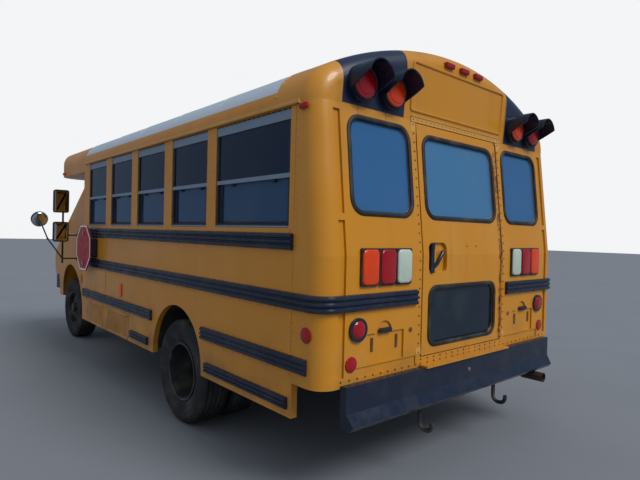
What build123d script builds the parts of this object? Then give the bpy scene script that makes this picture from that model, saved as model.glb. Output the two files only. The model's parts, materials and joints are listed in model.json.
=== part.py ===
from build123d import *
import math
import os

# Short school bus on a van cutaway chassis. Millimetres, +X forward, +Y left, +Z up,
# origin on the ground under the middle of the overall length.

# Driving dimensions of the whole vehicle
BODY_WIDTH = 2440
WHEELBASE = 3530
REAR_AXLE_SETBACK = 1585
FRONT_OVERHANG = 835
REAR_BUMPER_DEPTH = 85
BODY_LENGTH = 3830
LENGTH = REAR_BUMPER_DEPTH + REAR_AXLE_SETBACK + WHEELBASE + FRONT_OVERHANG

# Stations along X
X_TAIL = -LENGTH / 2
X_REAR = X_TAIL + REAR_BUMPER_DEPTH
X_REAR_AXLE = X_REAR + REAR_AXLE_SETBACK
X_FRONT_AXLE = X_REAR_AXLE + WHEELBASE
X_NOSE = X_FRONT_AXLE + FRONT_OVERHANG
X_BODY_FRONT = X_REAR + BODY_LENGTH
HALF = BODY_WIDTH / 2

# Clearances
GAP = 6
SWING_GAP = 11
SEAT_GAP = 0.3
RUN_GAP = 0.1

# Body shell heights and radii
SKIRT_Z = 437
EAVE_Z = 2070
ROOF_RADIUS = 2350
SHOULDER_RADIUS = 230
ROOF_CENTRE_Z = EAVE_Z - math.sqrt((ROOF_RADIUS - SHOULDER_RADIUS) ** 2 - (HALF - SHOULDER_RADIUS) ** 2)
ROOF_Z = ROOF_CENTRE_Z + ROOF_RADIUS
WALL = 40
ROOF_WALL = 35
REAR_CORNER = 100
REAR_LOW_Z = 620
KINK_Z = 1284
REAR_LEAN = 84
CAP_BACK = 34
REAR_SEAM = 220
CAP_SEAM = 420
FLOOR_Z = 720
FLOOR_THICK = 30

# Wheels
TYRE_RADIUS = 372
TYRE_WIDTH = 223
RIM_RADIUS = 203
FRONT_TYRE_FACE = 980
REAR_TYRE_FACE = 1185
TWIN_GAP = 35
KINGPIN_Y = 770
TWIN_DISC = (TYRE_WIDTH + TWIN_GAP) / 2 - 8
FRONT_HUB_LOW = 15
REAR_HUB_LOW = -TWIN_DISC - 30
FRONT_SPINDLE = 22
REAR_SPINDLE = 30
BORE_DEPTH = 55

# Wheel arches
REAR_ARCH_RADIUS = 392
REAR_ARCH_Z = 463
FRONT_ARCH_RADIUS = 425
FRONT_ARCH_Z = 505
HOUSING_INNER_Y = 660
HOUSING_TOP_Z = 890
HOUSING_RADIUS = REAR_ARCH_RADIUS + 25
HOUSING_THICK = 15

# Left side windows: low and high X from the rear face
WINDOW_END_POST = 178
WINDOW_SPANS = [(273, 1046), (1163, 1693), (1826, 2357), (2486, 2996), (3136, BODY_LENGTH - WINDOW_END_POST)]
WINDOW_LOW_Z = 1420
WINDOW_HIGH_Z = 2050
GLASS = 6

# Ladder frame
RAIL_Y = 430
RAIL_WIDTH = 70
RAIL_LOW_Z = 500
RAIL_HIGH_Z = 660
OUTRIGGER_GAP = 10

# Van cab
CAB_HALF = 1005
CAB_LOW_Z = 480
CAB_WALL = 45
CAB_FLOOR_Z = 700
DOOR_POST = 120
DOOR_WIDTH = 710
DOOR_SPAN = (BODY_LENGTH + DOOR_POST, BODY_LENGTH + DOOR_POST + DOOR_WIDTH)
DOOR_Z = (590, 1900)
DOOR_HINGE_X = X_REAR + DOOR_SPAN[1] - GAP / 2
DOOR_HINGE_Y = CAB_HALF + 3
DOOR_HINGE_ZS = (740, 1180)
HINGE_LENGTH = 90
HINGE_RADIUS = 8
COWL_Z = 1340
HOOD_SPAN_Y = 700
FIREWALL_AHEAD = 15
COWL_AHEAD = 315
HOOD_STEP = 82
NOSE_SETBACK = 85
SCREEN_RUN = 515
FRONT_AXLE_X = REAR_AXLE_SETBACK + WHEELBASE
FIREWALL_X = FRONT_AXLE_X + FIREWALL_AHEAD
COWL_X = FRONT_AXLE_X + COWL_AHEAD
HOOD_REAR_X = COWL_X + HOOD_STEP
NOSE_X = FRONT_AXLE_X + FRONT_OVERHANG - NOSE_SETBACK
SCREEN_TOP_X = COWL_X + 60 - SCREEN_RUN

# Entrance on the right side: low and high X from the rear face, and heights
ENTRY_POST = 60
ENTRY_WIDTH = 620
ENTRY_END_POST = 90
ENTRY_SPAN = (BODY_LENGTH + ENTRY_POST, BODY_LENGTH + ENTRY_POST + ENTRY_WIDTH)
ENTRY_WALL_END = ENTRY_SPAN[1] + ENTRY_END_POST
ENTRY_Z = (345, 1950)
ENTRY_STILE = 45
ENTRY_MIDDLE_Z = 1105
STEP_INNER_Y = 540
STEP_ZS = (360, 540)
STEP_RUN = 260
PLATE = 15

# Rear emergency door and its windows
EXIT_HALF = 437
EXIT_Z = (695, 2062)
EXIT_LEAF = 40


def station(x):
    """Distance ahead of the rear face, as a model X."""
    return X_REAR + x


def block(xs, ys, zs):
    """Box between a low and a high value on each axis."""
    size = [abs(b - a) for a, b in (xs, ys, zs)]
    mid = [(a + b) / 2 for a, b in (xs, ys, zs)]
    return Pos(*mid) * Box(*size)


def prism_y(points, y_low, y_high):
    """Side outline of (x, z) points, drawn across the vehicle."""
    outline = Polyline(*[(x, y_low, z) for x, z in points], close=True)
    return extrude(make_face(outline), amount=y_high - y_low, dir=(0, 1, 0))


def prism_x(points, x_low, x_high):
    """Cross section of (y, z) points, drawn along the vehicle."""
    outline = Polyline(*[(x_low, y, z) for y, z in points], close=True)
    return extrude(make_face(outline), amount=x_high - x_low, dir=(1, 0, 0))


def prism_z(points, z_low, z_high):
    """Plan outline of (x, y) points, drawn upward."""
    outline = Polyline(*[(x, y, z_low) for x, y in points], close=True)
    return extrude(make_face(outline), amount=z_high - z_low, dir=(0, 0, 1))


def bar_y(radius, x, z, y_low, y_high):
    return Pos(x, (y_low + y_high) / 2, z) * Rot(90, 0, 0) * Cylinder(radius, y_high - y_low)


def bar_x(radius, y, z, x_low, x_high):
    return Pos((x_low + x_high) / 2, y, z) * Rot(0, 90, 0) * Cylinder(radius, x_high - x_low)


def bar_z(radius, x, y, z_low, z_high):
    return Pos(x, y, (z_low + z_high) / 2) * Cylinder(radius, z_high - z_low)


def rounded_rear(y, z, width, height, radius, x_low, x_high):
    """Rounded rectangle seen from behind, drawn along X."""
    face = Plane(origin=(x_low, y, z), x_dir=(0, 1, 0), z_dir=(1, 0, 0)) * RectangleRounded(width, height, radius)
    return extrude(face, amount=x_high - x_low, dir=(1, 0, 0))


def rounded_side(x, z, width, height, radius, y_low, y_high):
    """Rounded rectangle seen from the side, drawn along Y."""
    face = Plane(origin=(x, y_low, z), x_dir=(1, 0, 0), z_dir=(0, -1, 0)) * RectangleRounded(width, height, radius)
    return extrude(face, amount=y_high - y_low, dir=(0, 1, 0))


def mirrored(shape):
    """The same shape on the other side of the vehicle."""
    return shape.mirror(Plane.XZ)


def join(shapes):
    """One shape from pieces that touch or overlap."""
    whole = shapes[0]
    for shape in shapes[1:]:
        whole = whole + shape
    return whole


def together(shapes):
    """Several solids that don't touch, in one node."""
    return Compound(children=[solid for shape in shapes for solid in shape.solids()])


def rod(start, end, radius):
    """Straight round bar between two points."""
    axis = Vector(*end) - Vector(*start)
    return Plane(origin=Vector(*start) + axis / 2, z_dir=axis) * Cylinder(radius, axis.length)


def tube(points, radii, radius):
    """Round pipe along straight runs joined by arcs."""
    path = FilletPolyline(*points, radius=radii)
    start = Plane(origin=path @ 0, z_dir=path % 0)
    return sweep(start * Circle(radius), path=path)


def rear_x(z):
    """Outer rear surface at a height: upright, leaning above the waist, then the cap."""
    if z <= KINK_Z:
        return X_REAR
    if z <= EAVE_Z:
        return X_REAR + REAR_LEAN * (z - KINK_Z) / (EAVE_Z - KINK_Z)
    return X_REAR + REAR_LEAN - CAP_BACK * (z - EAVE_Z) / (ROOF_Z - EAVE_Z)


def roof_section(inset, low_z, x_low, x_high):
    """Body cross section with an arched roof, moved inward by inset, along X."""
    half = HALF - inset
    crown_r = ROOF_RADIUS - inset
    shoulder_r = SHOULDER_RADIUS - inset
    across = HALF - SHOULDER_RADIUS
    rise = EAVE_Z - ROOF_CENTRE_Z
    reach = crown_r / (crown_r - shoulder_r)
    turn = math.atan2(rise, across) / 2
    side = Vector(x_low, half, EAVE_Z)
    mid = Vector(x_low, across + shoulder_r * math.cos(turn), EAVE_Z + shoulder_r * math.sin(turn))
    crown = Vector(x_low, across * reach, ROOF_CENTRE_Z + rise * reach)
    right_side, right_mid, right_crown = [Vector(p.X, -p.Y, p.Z) for p in (side, mid, crown)]
    lines = [
        ThreePointArc(side, mid, crown),
        ThreePointArc(crown, (x_low, 0, ROOF_CENTRE_Z + crown_r), right_crown),
        ThreePointArc(right_crown, right_mid, right_side),
    ]
    if low_z < EAVE_Z:
        foot = Vector(x_low, half, low_z)
        right_foot = Vector(x_low, -half, low_z)
        lines += [Line(right_side, right_foot), Line(right_foot, foot), Line(foot, side)]
    else:
        lines.append(Line(right_side, side))
    return extrude(make_face(Wire(lines)), amount=x_high - x_low, dir=(1, 0, 0))


def arch_cut(x, z, radius, y_low, y_high):
    """Round-topped wheel opening that runs down past the skirt."""
    legs = block((x - radius, x + radius), (y_low, y_high), (0, z))
    return bar_y(radius, x, z, y_low, y_high) + legs


# Body panels

def side_wall(side):
    """One side of the body with its windows and wheel arch cut."""
    outer = side * HALF
    inner = side * (HALF - WALL)
    ys = (min(outer, inner), max(outer, inner))
    through = (ys[0] - 20, ys[1] + 20)
    end = X_BODY_FRONT if side > 0 else station(ENTRY_WALL_END)
    wall = block((station(REAR_SEAM), end), ys, (SKIRT_Z, EAVE_Z))
    for low, high in WINDOW_SPANS:
        wall -= block((station(low), station(high)), through, (WINDOW_LOW_Z, WINDOW_HIGH_Z))
    wall -= arch_cut(X_REAR_AXLE, REAR_ARCH_Z, REAR_ARCH_RADIUS, *through)
    if side < 0:
        low, high = ENTRY_SPAN
        wall -= block((station(low), station(high)), through, (0, ENTRY_Z[1]))
        wall -= entry_hinge(True, SEAT_GAP)
        wall -= entry_hinge(False, SEAT_GAP)
        wall -= block((X_BODY_FRONT, end + 5), through, (NOSE_CAP_LOW_Z, EAVE_Z + 5))
        closing = block((end - WALL, end), (-HALF + WALL, -CAB_HALF + 150), (SKIRT_Z, NOSE_CAP_LOW_Z))
        wall += closing - cab_section(-SEAT_GAP, end - 2 * WALL, end + WALL)
    return wall


def rear_shell(inset, x_high):
    """Solid rear end of the body below the cap, with rounded corners."""
    profile = [
        (X_REAR + inset, REAR_LOW_Z),
        (X_REAR + inset, KINK_Z),
        (X_REAR + REAR_LEAN + inset, EAVE_Z),
        (x_high, EAVE_Z),
        (x_high, REAR_LOW_Z),
    ]
    solid = prism_y(profile, -HALF + inset, HALF - inset)
    corners = [e for e in solid.edges() if abs(abs(e.center().Y) - (HALF - inset)) < 1 and e.center().X < x_high - 40
               and abs((e % 0.5).Z) > 0.9]
    return fillet(corners, REAR_CORNER - inset)


TAIL_WINDOW = {"y": 757, "z": 1760, "width": 470, "height": 495, "radius": 85}
EXIT_UPPER = {"y": 0, "z": 1750, "width": 752, "height": 475, "radius": 85}
EXIT_LOWER = {"y": 10, "z": 920, "width": 710, "height": 330, "radius": 75}
FLUTES = [(670, 1465), (1500, 2035)]
FLUTE_Y = 1082
FLUTE_WIDTH = 46
FLUTE_DEPTH = 12
PLATE_Y = 750


def window_cut(table, x_low, x_high, grow=0):
    return rounded_rear(table["y"], table["z"], table["width"] + grow, table["height"] + grow,
                        table["radius"] + grow / 2, x_low, x_high)


def rear_wall():
    wall = rear_shell(0, station(REAR_SEAM)) - rear_shell(WALL, station(REAR_SEAM) + 5)
    x_low = X_REAR - 50
    x_high = X_REAR + 160
    wall -= block((x_low, x_high), (-EXIT_HALF - GAP, EXIT_HALF + SWING_GAP), (EXIT_Z[0] - GAP, EAVE_Z + 10))
    for side in (1, -1):
        table = dict(TAIL_WINDOW, y=side * TAIL_WINDOW["y"])
        wall -= window_cut(table, x_low, x_high)
        for low, high in FLUTES:
            depth_low = min(rear_x(low), rear_x(high)) - 60
            lean = [(rear_x(low) + FLUTE_DEPTH, low), (rear_x(high) + FLUTE_DEPTH, high), (depth_low, high), (depth_low, low)]
            if low < KINK_Z < high:
                lean.insert(1, (X_REAR + FLUTE_DEPTH, KINK_Z))
            centre = side * FLUTE_Y
            wall -= prism_y(lean, centre - FLUTE_WIDTH / 2, centre + FLUTE_WIDTH / 2)
        recess = block((x_low, X_REAR + 10), (side * PLATE_Y - 150, side * PLATE_Y + 150), (712, 872))
        recess += bar_x(62, side * PLATE_Y + 12, 872, x_low, X_REAR + 10)
        strip_y = sorted((side * 490, side * 975))
        recess += block((x_low, X_REAR + 7), strip_y, (655, 706))
        wall -= recess
    return wall


def cap_solid(inset, x_high):
    """Domed rear cap above the rear wall, rounded over its rear edge."""
    profile = [
        (X_REAR + REAR_LEAN + inset, EAVE_Z),
        (X_REAR + REAR_LEAN - CAP_BACK + inset, ROOF_Z),
        (X_REAR + REAR_LEAN - CAP_BACK + inset, ROOF_Z + 100),
        (x_high, ROOF_Z + 100),
        (x_high, EAVE_Z),
    ]
    body = roof_section(inset, EAVE_Z, X_REAR, x_high) & prism_y(profile, -HALF, HALF)
    rear_face = body.faces().sort_by(Axis.X)[0]
    edges = [e for e in rear_face.edges() if e.center().Z > EAVE_Z + 1]
    return fillet(edges, REAR_CORNER - inset)


def rear_cap():
    return cap_solid(0, station(CAP_SEAM)) - cap_solid(ROOF_WALL, station(CAP_SEAM) + 5)


def roof():
    low = station(CAP_SEAM)
    shell = roof_section(0, EAVE_Z, low, X_BODY_FRONT) - roof_section(ROOF_WALL, EAVE_Z, low - 5, X_BODY_FRONT + 5)
    return shell


# Front cap over the cab
NOSE_CAP_LENGTH = 1035
NOSE_CAP_X = BODY_LENGTH + NOSE_CAP_LENGTH
NOSE_CAP_LOW_Z = 1985
NOSE_CAP_CORNER = 250


NOSE_BROW_Z = NOSE_CAP_LOW_Z + 120


def nose_cap_solid(inset, low, start):
    """Front cap as a solid moved inward by inset: rounded plan, arched roof, sloping brow."""
    front = station(NOSE_CAP_X) - inset
    solid = block((start, front), (-HALF + inset, HALF - inset), (low, ROOF_Z + 20))
    corners = [e for e in solid.edges().filter_by(Axis.Z) if e.center().X > front - 1]
    solid = fillet(corners, NOSE_CAP_CORNER - inset) & roof_section(inset, low - 20, start - 20, front + 20)
    top = ROOF_Z - inset
    edge = front - 420, 0, top - 55
    behind, ahead, over = start - 20, front + 60, ROOF_Z + 60
    outline = [
        ThreePointArc((front, 0, NOSE_BROW_Z), (front - 130, 0, top - 170), edge),
        Line(edge, (behind, 0, top + 4)),
        Line((behind, 0, top + 4), (behind, 0, over)),
        Line((behind, 0, over), (ahead, 0, over)),
        Line((ahead, 0, over), (ahead, 0, NOSE_BROW_Z)),
        Line((ahead, 0, NOSE_BROW_Z), (front, 0, NOSE_BROW_Z)),
    ]
    return solid - extrude(make_face(Wire(outline)), amount=HALF + 20, dir=(0, 1, 0), both=True)


def front_cap():
    outer = nose_cap_solid(0, NOSE_CAP_LOW_Z, X_BODY_FRONT)
    return outer - nose_cap_solid(ROOF_WALL, NOSE_CAP_LOW_Z + 25, X_BODY_FRONT - 5)


def body_floor():
    """Flat floor, open over the wheel housings."""
    inner = HALF - WALL
    x_low = X_REAR + WALL + SEAT_GAP
    floor = block((x_low, X_BODY_FRONT), (-inner, inner), (FLOOR_Z - FLOOR_THICK, FLOOR_Z))
    floor = fillet([e for e in floor.edges().filter_by(Axis.Z) if e.center().X < x_low + 1], REAR_CORNER - WALL)
    reach = HOUSING_RADIUS + SEAT_GAP
    for side in (1, -1):
        ys = sorted((side * (HOUSING_INNER_Y - SEAT_GAP), side * (inner + 5)))
        floor -= block((X_REAR_AXLE - reach, X_REAR_AXLE + reach), ys, (FLOOR_Z - FLOOR_THICK - 5, FLOOR_Z + 5))
    return floor


def wheel_housing(side):
    """Round-topped housing over one pair of rear wheels."""
    inner = HALF - WALL
    ys = sorted((side * HOUSING_INNER_Y, side * inner))
    housing = bar_y(HOUSING_RADIUS, X_REAR_AXLE, REAR_ARCH_Z + 10, *ys)
    housing += block((X_REAR_AXLE - HOUSING_RADIUS, X_REAR_AXLE + HOUSING_RADIUS), ys, (REAR_ARCH_Z, FLOOR_Z))
    housing &= block((X_REAR, X_BODY_FRONT), ys, (REAR_ARCH_Z, HOUSING_TOP_Z))
    inner_ys = sorted((side * (HOUSING_INNER_Y + HOUSING_THICK), side * (inner + 5)))
    return housing - arch_cut(X_REAR_AXLE, REAR_ARCH_Z + 10, HOUSING_RADIUS - HOUSING_THICK, *inner_ys)


def step_well():
    """Two entrance steps between side plates, and the floor beside them."""
    inner = HALF - WALL
    inner_y = -STEP_INNER_Y - SEAT_GAP
    low, high = station(ENTRY_SPAN[0] - 10), station(ENTRY_SPAN[1] + 10)
    floor_zs = (FLOOR_Z - FLOOR_THICK, FLOOR_Z)
    steps = [block((X_BODY_FRONT, low + 5), (-inner, inner_y), floor_zs)]
    for index, (height, riser_top) in enumerate(zip(STEP_ZS, (STEP_ZS[1], FLOOR_Z))):
        reach = -inner + index * STEP_RUN
        edge = reach + STEP_RUN
        steps.append(block((low, high), (reach, edge), (height - FLOOR_THICK, height)))
        steps.append(block((low, high), (edge - PLATE, edge), (height - FLOOR_THICK, riser_top)))
    steps.append(block((low, high), (-inner + 2 * STEP_RUN, inner_y), floor_zs))
    for x in (low, high - PLATE):
        steps.append(block((x, x + PLATE), (-inner, inner_y), (STEP_ZS[0] - FLOOR_THICK, FLOOR_Z)))
    return join(steps)


def bulkhead():
    """Front wall of the body around the way into the cab."""
    inner = HALF - WALL
    xs = (X_BODY_FRONT - WALL, X_BODY_FRONT)
    wall = block(xs, (-inner, inner), (FLOOR_Z, EAVE_Z))
    wall += block(xs, (CAB_HALF - 60, inner), (SKIRT_Z, FLOOR_Z - FLOOR_THICK))
    wall -= block((xs[0] - 5, xs[1] + 5), (-inner - 5, 820), (FLOOR_Z - 5, EAVE_Z - 120))
    return wall


# Rub rails
RAIL_PROUD = 22
# name, low and high Z, then spans of X from the rear face on the left side
SIDE_RAILS = [
    ("window", 1305, 1392, [(230, BODY_LENGTH - 30)]),
    ("floor", 683, 764, [(10, REAR_AXLE_SETBACK - 400), (REAR_AXLE_SETBACK + 420, BODY_LENGTH - 50)]),
    ("skirt", 478, 540, [(250, REAR_AXLE_SETBACK - 460), (REAR_AXLE_SETBACK + 485, REAR_AXLE_SETBACK + 852)]),
]
SEAT_RAIL_Z = (1000, 1088)
SEAT_RAIL_END_Y = 497
RIDGES = 3


def ridge_profile(low, high):
    """Rail section as (height off the wall, z): three ridges with grooves between."""
    step = (high - low) / RIDGES
    points = [(0, low)]
    for index in range(RIDGES):
        base = low + index * step
        points += [(RAIL_PROUD - 8, base + step * 0.06), (RAIL_PROUD, base + step * 0.28),
                   (RAIL_PROUD, base + step * 0.62), (RAIL_PROUD - 8, base + step * 0.94)]
    points.append((0, high))
    return points


def straight_rail(side, x_low, x_high, low, high):
    points = [(side * (HALF + off), z) for off, z in ridge_profile(low, high)]
    return prism_x(points, x_low, x_high)


def rub_rails(side):
    rails = []
    for name, low, high, spans in SIDE_RAILS:
        for x_low, x_high in spans:
            start = max(x_low, REAR_CORNER)
            rails.append(straight_rail(side, station(start), station(x_high), low, high))
    low, high = SEAT_RAIL_Z
    end = X_BODY_FRONT - 5
    straight = straight_rail(side, X_REAR + REAR_CORNER, end, low, high)
    corner_y = side * (HALF - REAR_CORNER)
    profile = [(REAR_CORNER + off, z) for off, z in ridge_profile(low, high)]
    face = make_face(Polyline(*[(r, 0, z) for r, z in profile], close=True))
    bend = Pos(X_REAR + REAR_CORNER, corner_y, 0) * Rot(0, 0, 90 if side > 0 else 180) * revolve(face, Axis.Z, 90)
    back_points = [(X_REAR - off, z) for off, z in ridge_profile(low, high)]
    ys = sorted((corner_y, side * SEAT_RAIL_END_Y))
    back = prism_y(back_points, *ys)
    rails.append(straight + bend + back)
    return rails


# Windows
FRAME_WIDTH = 22
SASH_Z = 1790


def side_windows(side):
    """Aluminium frames with a sash bar, and the panes behind them."""
    frames = []
    panes = []
    outer = side * (HALF - 6)
    inner = side * (HALF - WALL + 6)
    ys = sorted((outer, inner))
    mid = (outer + inner) / 2
    for low, high in WINDOW_SPANS:
        xs = (station(low) + SEAT_GAP, station(high) - SEAT_GAP)
        zs = (WINDOW_LOW_Z + SEAT_GAP, WINDOW_HIGH_Z - SEAT_GAP)
        frame = block(xs, ys, zs)
        hole_x = (xs[0] + FRAME_WIDTH, xs[1] - FRAME_WIDTH)
        upper = (SASH_Z + 12, zs[1] - FRAME_WIDTH)
        lower = (zs[0] + FRAME_WIDTH, SASH_Z - 12)
        for hole_z in (upper, lower):
            frame -= block(hole_x, (ys[0] - 5, ys[1] + 5), hole_z)
            panes.append(block((hole_x[0] + SEAT_GAP, hole_x[1] - SEAT_GAP), (mid - GLASS / 2, mid + GLASS / 2),
                               (hole_z[0] + SEAT_GAP, hole_z[1] - SEAT_GAP)))
        frames.append(frame)
    return frames, panes


def tail_pane(side):
    """Fixed rear window: a pane leaning with the wall."""
    table = dict(TAIL_WINDOW, y=side * TAIL_WINDOW["y"])
    cut = window_cut(table, X_REAR - 50, X_REAR + 160, -2 * SEAT_GAP)
    return cut & leaning_sheet(12, GLASS)


def leaning_sheet(depth, thickness):
    """Sheet parallel to the rear wall, at a depth behind its outer surface."""
    front = [(rear_x(z) + depth, z) for z in (REAR_LOW_Z, KINK_Z, EAVE_Z)]
    back = [(x + thickness, z) for x, z in reversed(front)]
    return prism_y(front + back, -HALF, HALF)


# Emergency door
HANDLE_Y = 300
HANDLE_Z = 1265
HINGE_PROUD = 8


def emergency_door():
    leaf = leaning_sheet(0, EXIT_LEAF) & block((X_REAR - 50, X_REAR + 160), (-EXIT_HALF, EXIT_HALF), EXIT_Z)
    x_low = X_REAR - 50
    x_high = X_REAR + 160
    leaf -= window_cut(EXIT_UPPER, x_low, x_high)
    leaf -= window_cut(EXIT_LOWER, x_low, x_high)
    leaf -= rounded_rear(HANDLE_Y - 5, HANDLE_Z, 180, 185, 40, x_low, X_REAR + 24)
    hinge = bar_z(7, X_REAR - 3, -EXIT_HALF + 7, EXIT_Z[0] + 20, KINK_Z)
    handle = block((X_REAR - 6, X_REAR + 26), (HANDLE_Y + 25, HANDLE_Y + 60), (HANDLE_Z - 72, HANDLE_Z + 72))
    handle += prism_x([(HANDLE_Y - 40, HANDLE_Z + 30), (HANDLE_Y - 15, HANDLE_Z + 40),
                       (HANDLE_Y + 40, HANDLE_Z - 35), (HANDLE_Y + 25, HANDLE_Z - 60)], X_REAR - 2, X_REAR + 12)
    return leaf + hinge + handle


def emergency_panes():
    panes = []
    for table in (EXIT_UPPER, EXIT_LOWER):
        cut = window_cut(table, X_REAR - 50, X_REAR + 160, -2 * SEAT_GAP)
        panes.append(cut & leaning_sheet(12, GLASS))
    return panes


# Entrance doors
ENTRY_LEAF = 35
ENTRY_HINGE_Y = -HALF - 2


def entry_hinge(front, grow):
    """Long hinge barrel at a leaf's outer edge."""
    x = station(ENTRY_SPAN[1]) - GAP / 2 if front else station(ENTRY_SPAN[0]) + GAP / 2
    return bar_z(6 + grow, x, ENTRY_HINGE_Y, ENTRY_Z[0] + 55 - grow, ENTRY_Z[1] - 50 + grow)


def entry_leaf(front):
    low, high = station(ENTRY_SPAN[0]) + GAP, station(ENTRY_SPAN[1]) - GAP
    middle = (low + high) / 2
    xs = (middle + SWING_GAP / 2, high) if front else (low, middle - SWING_GAP / 2)
    ys = (-HALF, -HALF + ENTRY_LEAF)
    leaf = block(xs, ys, (ENTRY_Z[0] + GAP, ENTRY_Z[1] - GAP))
    leaf += entry_hinge(front, 0)
    hole = (xs[0] + ENTRY_STILE, xs[1] - ENTRY_STILE)
    pane_zs = ((ENTRY_Z[0] + 125, ENTRY_MIDDLE_Z - ENTRY_STILE), (ENTRY_MIDDLE_Z + ENTRY_STILE, ENTRY_Z[1] - 80))
    panes = []
    for zs in pane_zs:
        leaf -= block(hole, (ys[0] - 5, ys[1] + 5), zs)
        panes.append(block((hole[0] + SEAT_GAP, hole[1] - SEAT_GAP), (-HALF + 14, -HALF + 14 + GLASS),
                           (zs[0] + SEAT_GAP, zs[1] - SEAT_GAP)))
    return leaf, panes


# Van cab
def cab_section(inset, x_low, x_high):
    points = [
        (CAB_HALF - 25 - inset, CAB_LOW_Z + inset),
        (CAB_HALF - inset, 900),
        (CAB_HALF - 5 - inset, COWL_Z),
        (CAB_HALF - 130 - inset, 1930 - inset),
        (CAB_HALF - 210 - inset, 1975 - inset),
    ]
    outline = points + [(-y, z) for y, z in reversed(points)]
    return prism_x(outline, x_low, x_high)


def cab_profile(inset):
    """Side outline of the cab: floor, nose, hood line, windshield and roof."""
    points = [
        (X_BODY_FRONT - (5 if inset else 0), CAB_LOW_Z),
        (station(NOSE_X) - inset, CAB_LOW_Z),
        (station(NOSE_X) - inset, 1030),
        (station(NOSE_X - 45) - inset, 1085 - inset),
        (station(COWL_X + 70) - inset, COWL_Z - 10 - inset),
        (station(COWL_X + 60) - inset, COWL_Z - inset),
        (station(SCREEN_TOP_X) - inset, 1975 - inset),
        (X_BODY_FRONT - (5 if inset else 0), 1975 - inset),
    ]
    return prism_y(points, -CAB_HALF, CAB_HALF)


def cab_solid(inset):
    return cab_section(inset, X_BODY_FRONT - (5 if inset else 0), station(NOSE_X)) & cab_profile(inset)


WHEEL_WELL_Y = 620


def cab_shell():
    cab = cab_solid(0)
    inner = cab_solid(CAB_WALL)
    cabin = inner & block((X_BODY_FRONT - 10, station(FIREWALL_X)), (-CAB_HALF, CAB_HALF), (CAB_FLOOR_Z, 2000))
    cabin += inner & prism_y([(station(FIREWALL_X) - 5, 1180), (station(COWL_X + 70), 1180), (station(COWL_X + 70), COWL_Z - 45),
                              (station(FIREWALL_X) - 5, 2000)], -CAB_HALF, CAB_HALF)
    under = block((X_BODY_FRONT - 5, station(FIREWALL_X + 40)), (-CAB_HALF + 60, CAB_HALF - 60), (0, CAB_FLOOR_Z - 30))
    bay = inner & block((station(FIREWALL_X + 30), station(NOSE_X) - 40), (-HOOD_SPAN_Y + 60, HOOD_SPAN_Y - 60), (0, 2000))
    bay &= prism_y([(station(FIREWALL_X + 30), 0), (station(NOSE_X), 0), (station(NOSE_X), COWL_Z),
                    (station(COWL_X - 30), COWL_Z), (station(COWL_X - 30), 1140), (station(FIREWALL_X + 30), 1140)],
                   -CAB_HALF, CAB_HALF)
    open_below = block((station(FIREWALL_X + 30), station(NOSE_X) - 40), (-HOOD_SPAN_Y + 60, HOOD_SPAN_Y - 60),
                       (0, CAB_LOW_Z + CAB_WALL + 10))
    cab = cab - cabin - under - bay - open_below
    cab -= block((X_FRONT_AXLE - ENGINE_BEHIND - 30, station(NOSE_X) + 5), (-330, 330), (0, 1100))
    for side in (1, -1):
        ys = sorted((side * WHEEL_WELL_Y, side * (CAB_HALF + 20)))
        cab -= arch_cut(X_FRONT_AXLE, FRONT_ARCH_Z, FRONT_ARCH_RADIUS, *ys)
        well = sorted((side * WHEEL_WELL_Y, side * (CAB_HALF - 30)))
        cab -= arch_cut(X_FRONT_AXLE, FRONT_ARCH_Z, FRONT_ARCH_RADIUS + 20, *well)
    low, high = DOOR_SPAN
    cab -= block((station(low), station(high)), (CAB_HALF - 260, CAB_HALF + 20), DOOR_Z)
    entry_end = station(ENTRY_WALL_END - WALL)
    cab -= block((X_BODY_FRONT - 5, entry_end), (-CAB_HALF - 20, -STEP_INNER_Y), (CAB_LOW_Z - 5, 1900))
    cab -= block((X_BODY_FRONT - 5, station(NOSE_X) + 5), (-RAIL_Y - 15, RAIL_Y + 15), (0, RAIL_HIGH_Z + 5))
    cab -= block((X_NOSE - 265, station(NOSE_X) + 5), (-CAB_HALF - 20, CAB_HALF + 20), (0, 755))
    for z in DOOR_HINGE_ZS:
        cab -= bar_z(HINGE_RADIUS + SEAT_GAP, DOOR_HINGE_X, DOOR_HINGE_Y, z - SEAT_GAP, z + HINGE_LENGTH + SEAT_GAP)
    cab -= hood_space(GAP)
    cab -= hood_barrels(SEAT_GAP)
    cab -= screen_space(0)
    cab -= block((station(NOSE_X) - 58 - SEAT_GAP, station(NOSE_X) + 5), (-755 - SEAT_GAP, 755 + SEAT_GAP),
                 (765 - SEAT_GAP, 995 + SEAT_GAP))
    return cab


def hood_space(grow):
    """Region of the hood panel, seen from above."""
    rear = station(HOOD_REAR_X) - grow
    front = station(NOSE_X) + 20
    slope = [
        (rear, COWL_Z + 50),
        (front, COWL_Z + 50),
        (front, 1045 - grow),
        (front - 80, 1045 - grow),
        (rear, COWL_Z - 60 - grow),
    ]
    return prism_y(slope, -HOOD_SPAN_Y - grow, HOOD_SPAN_Y + grow)


HOOD_HINGE_X = X_REAR + HOOD_REAR_X - GAP / 2
HOOD_HINGE_Z = COWL_Z - 14


def hood_barrels(grow):
    """Hinge barrels at the hood's rear edge."""
    pair = [bar_y(7 + grow, HOOD_HINGE_X, HOOD_HINGE_Z, *sorted((side * (420 - grow), side * (500 + grow)))) for side in (1, -1)]
    return together(pair)


def hood():
    slab = cab_solid(0) - cab_solid(28)
    panel = (slab & hood_space(0)).solids().sort_by(SortBy.VOLUME)[-1]
    return panel + hood_barrels(0)


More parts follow.
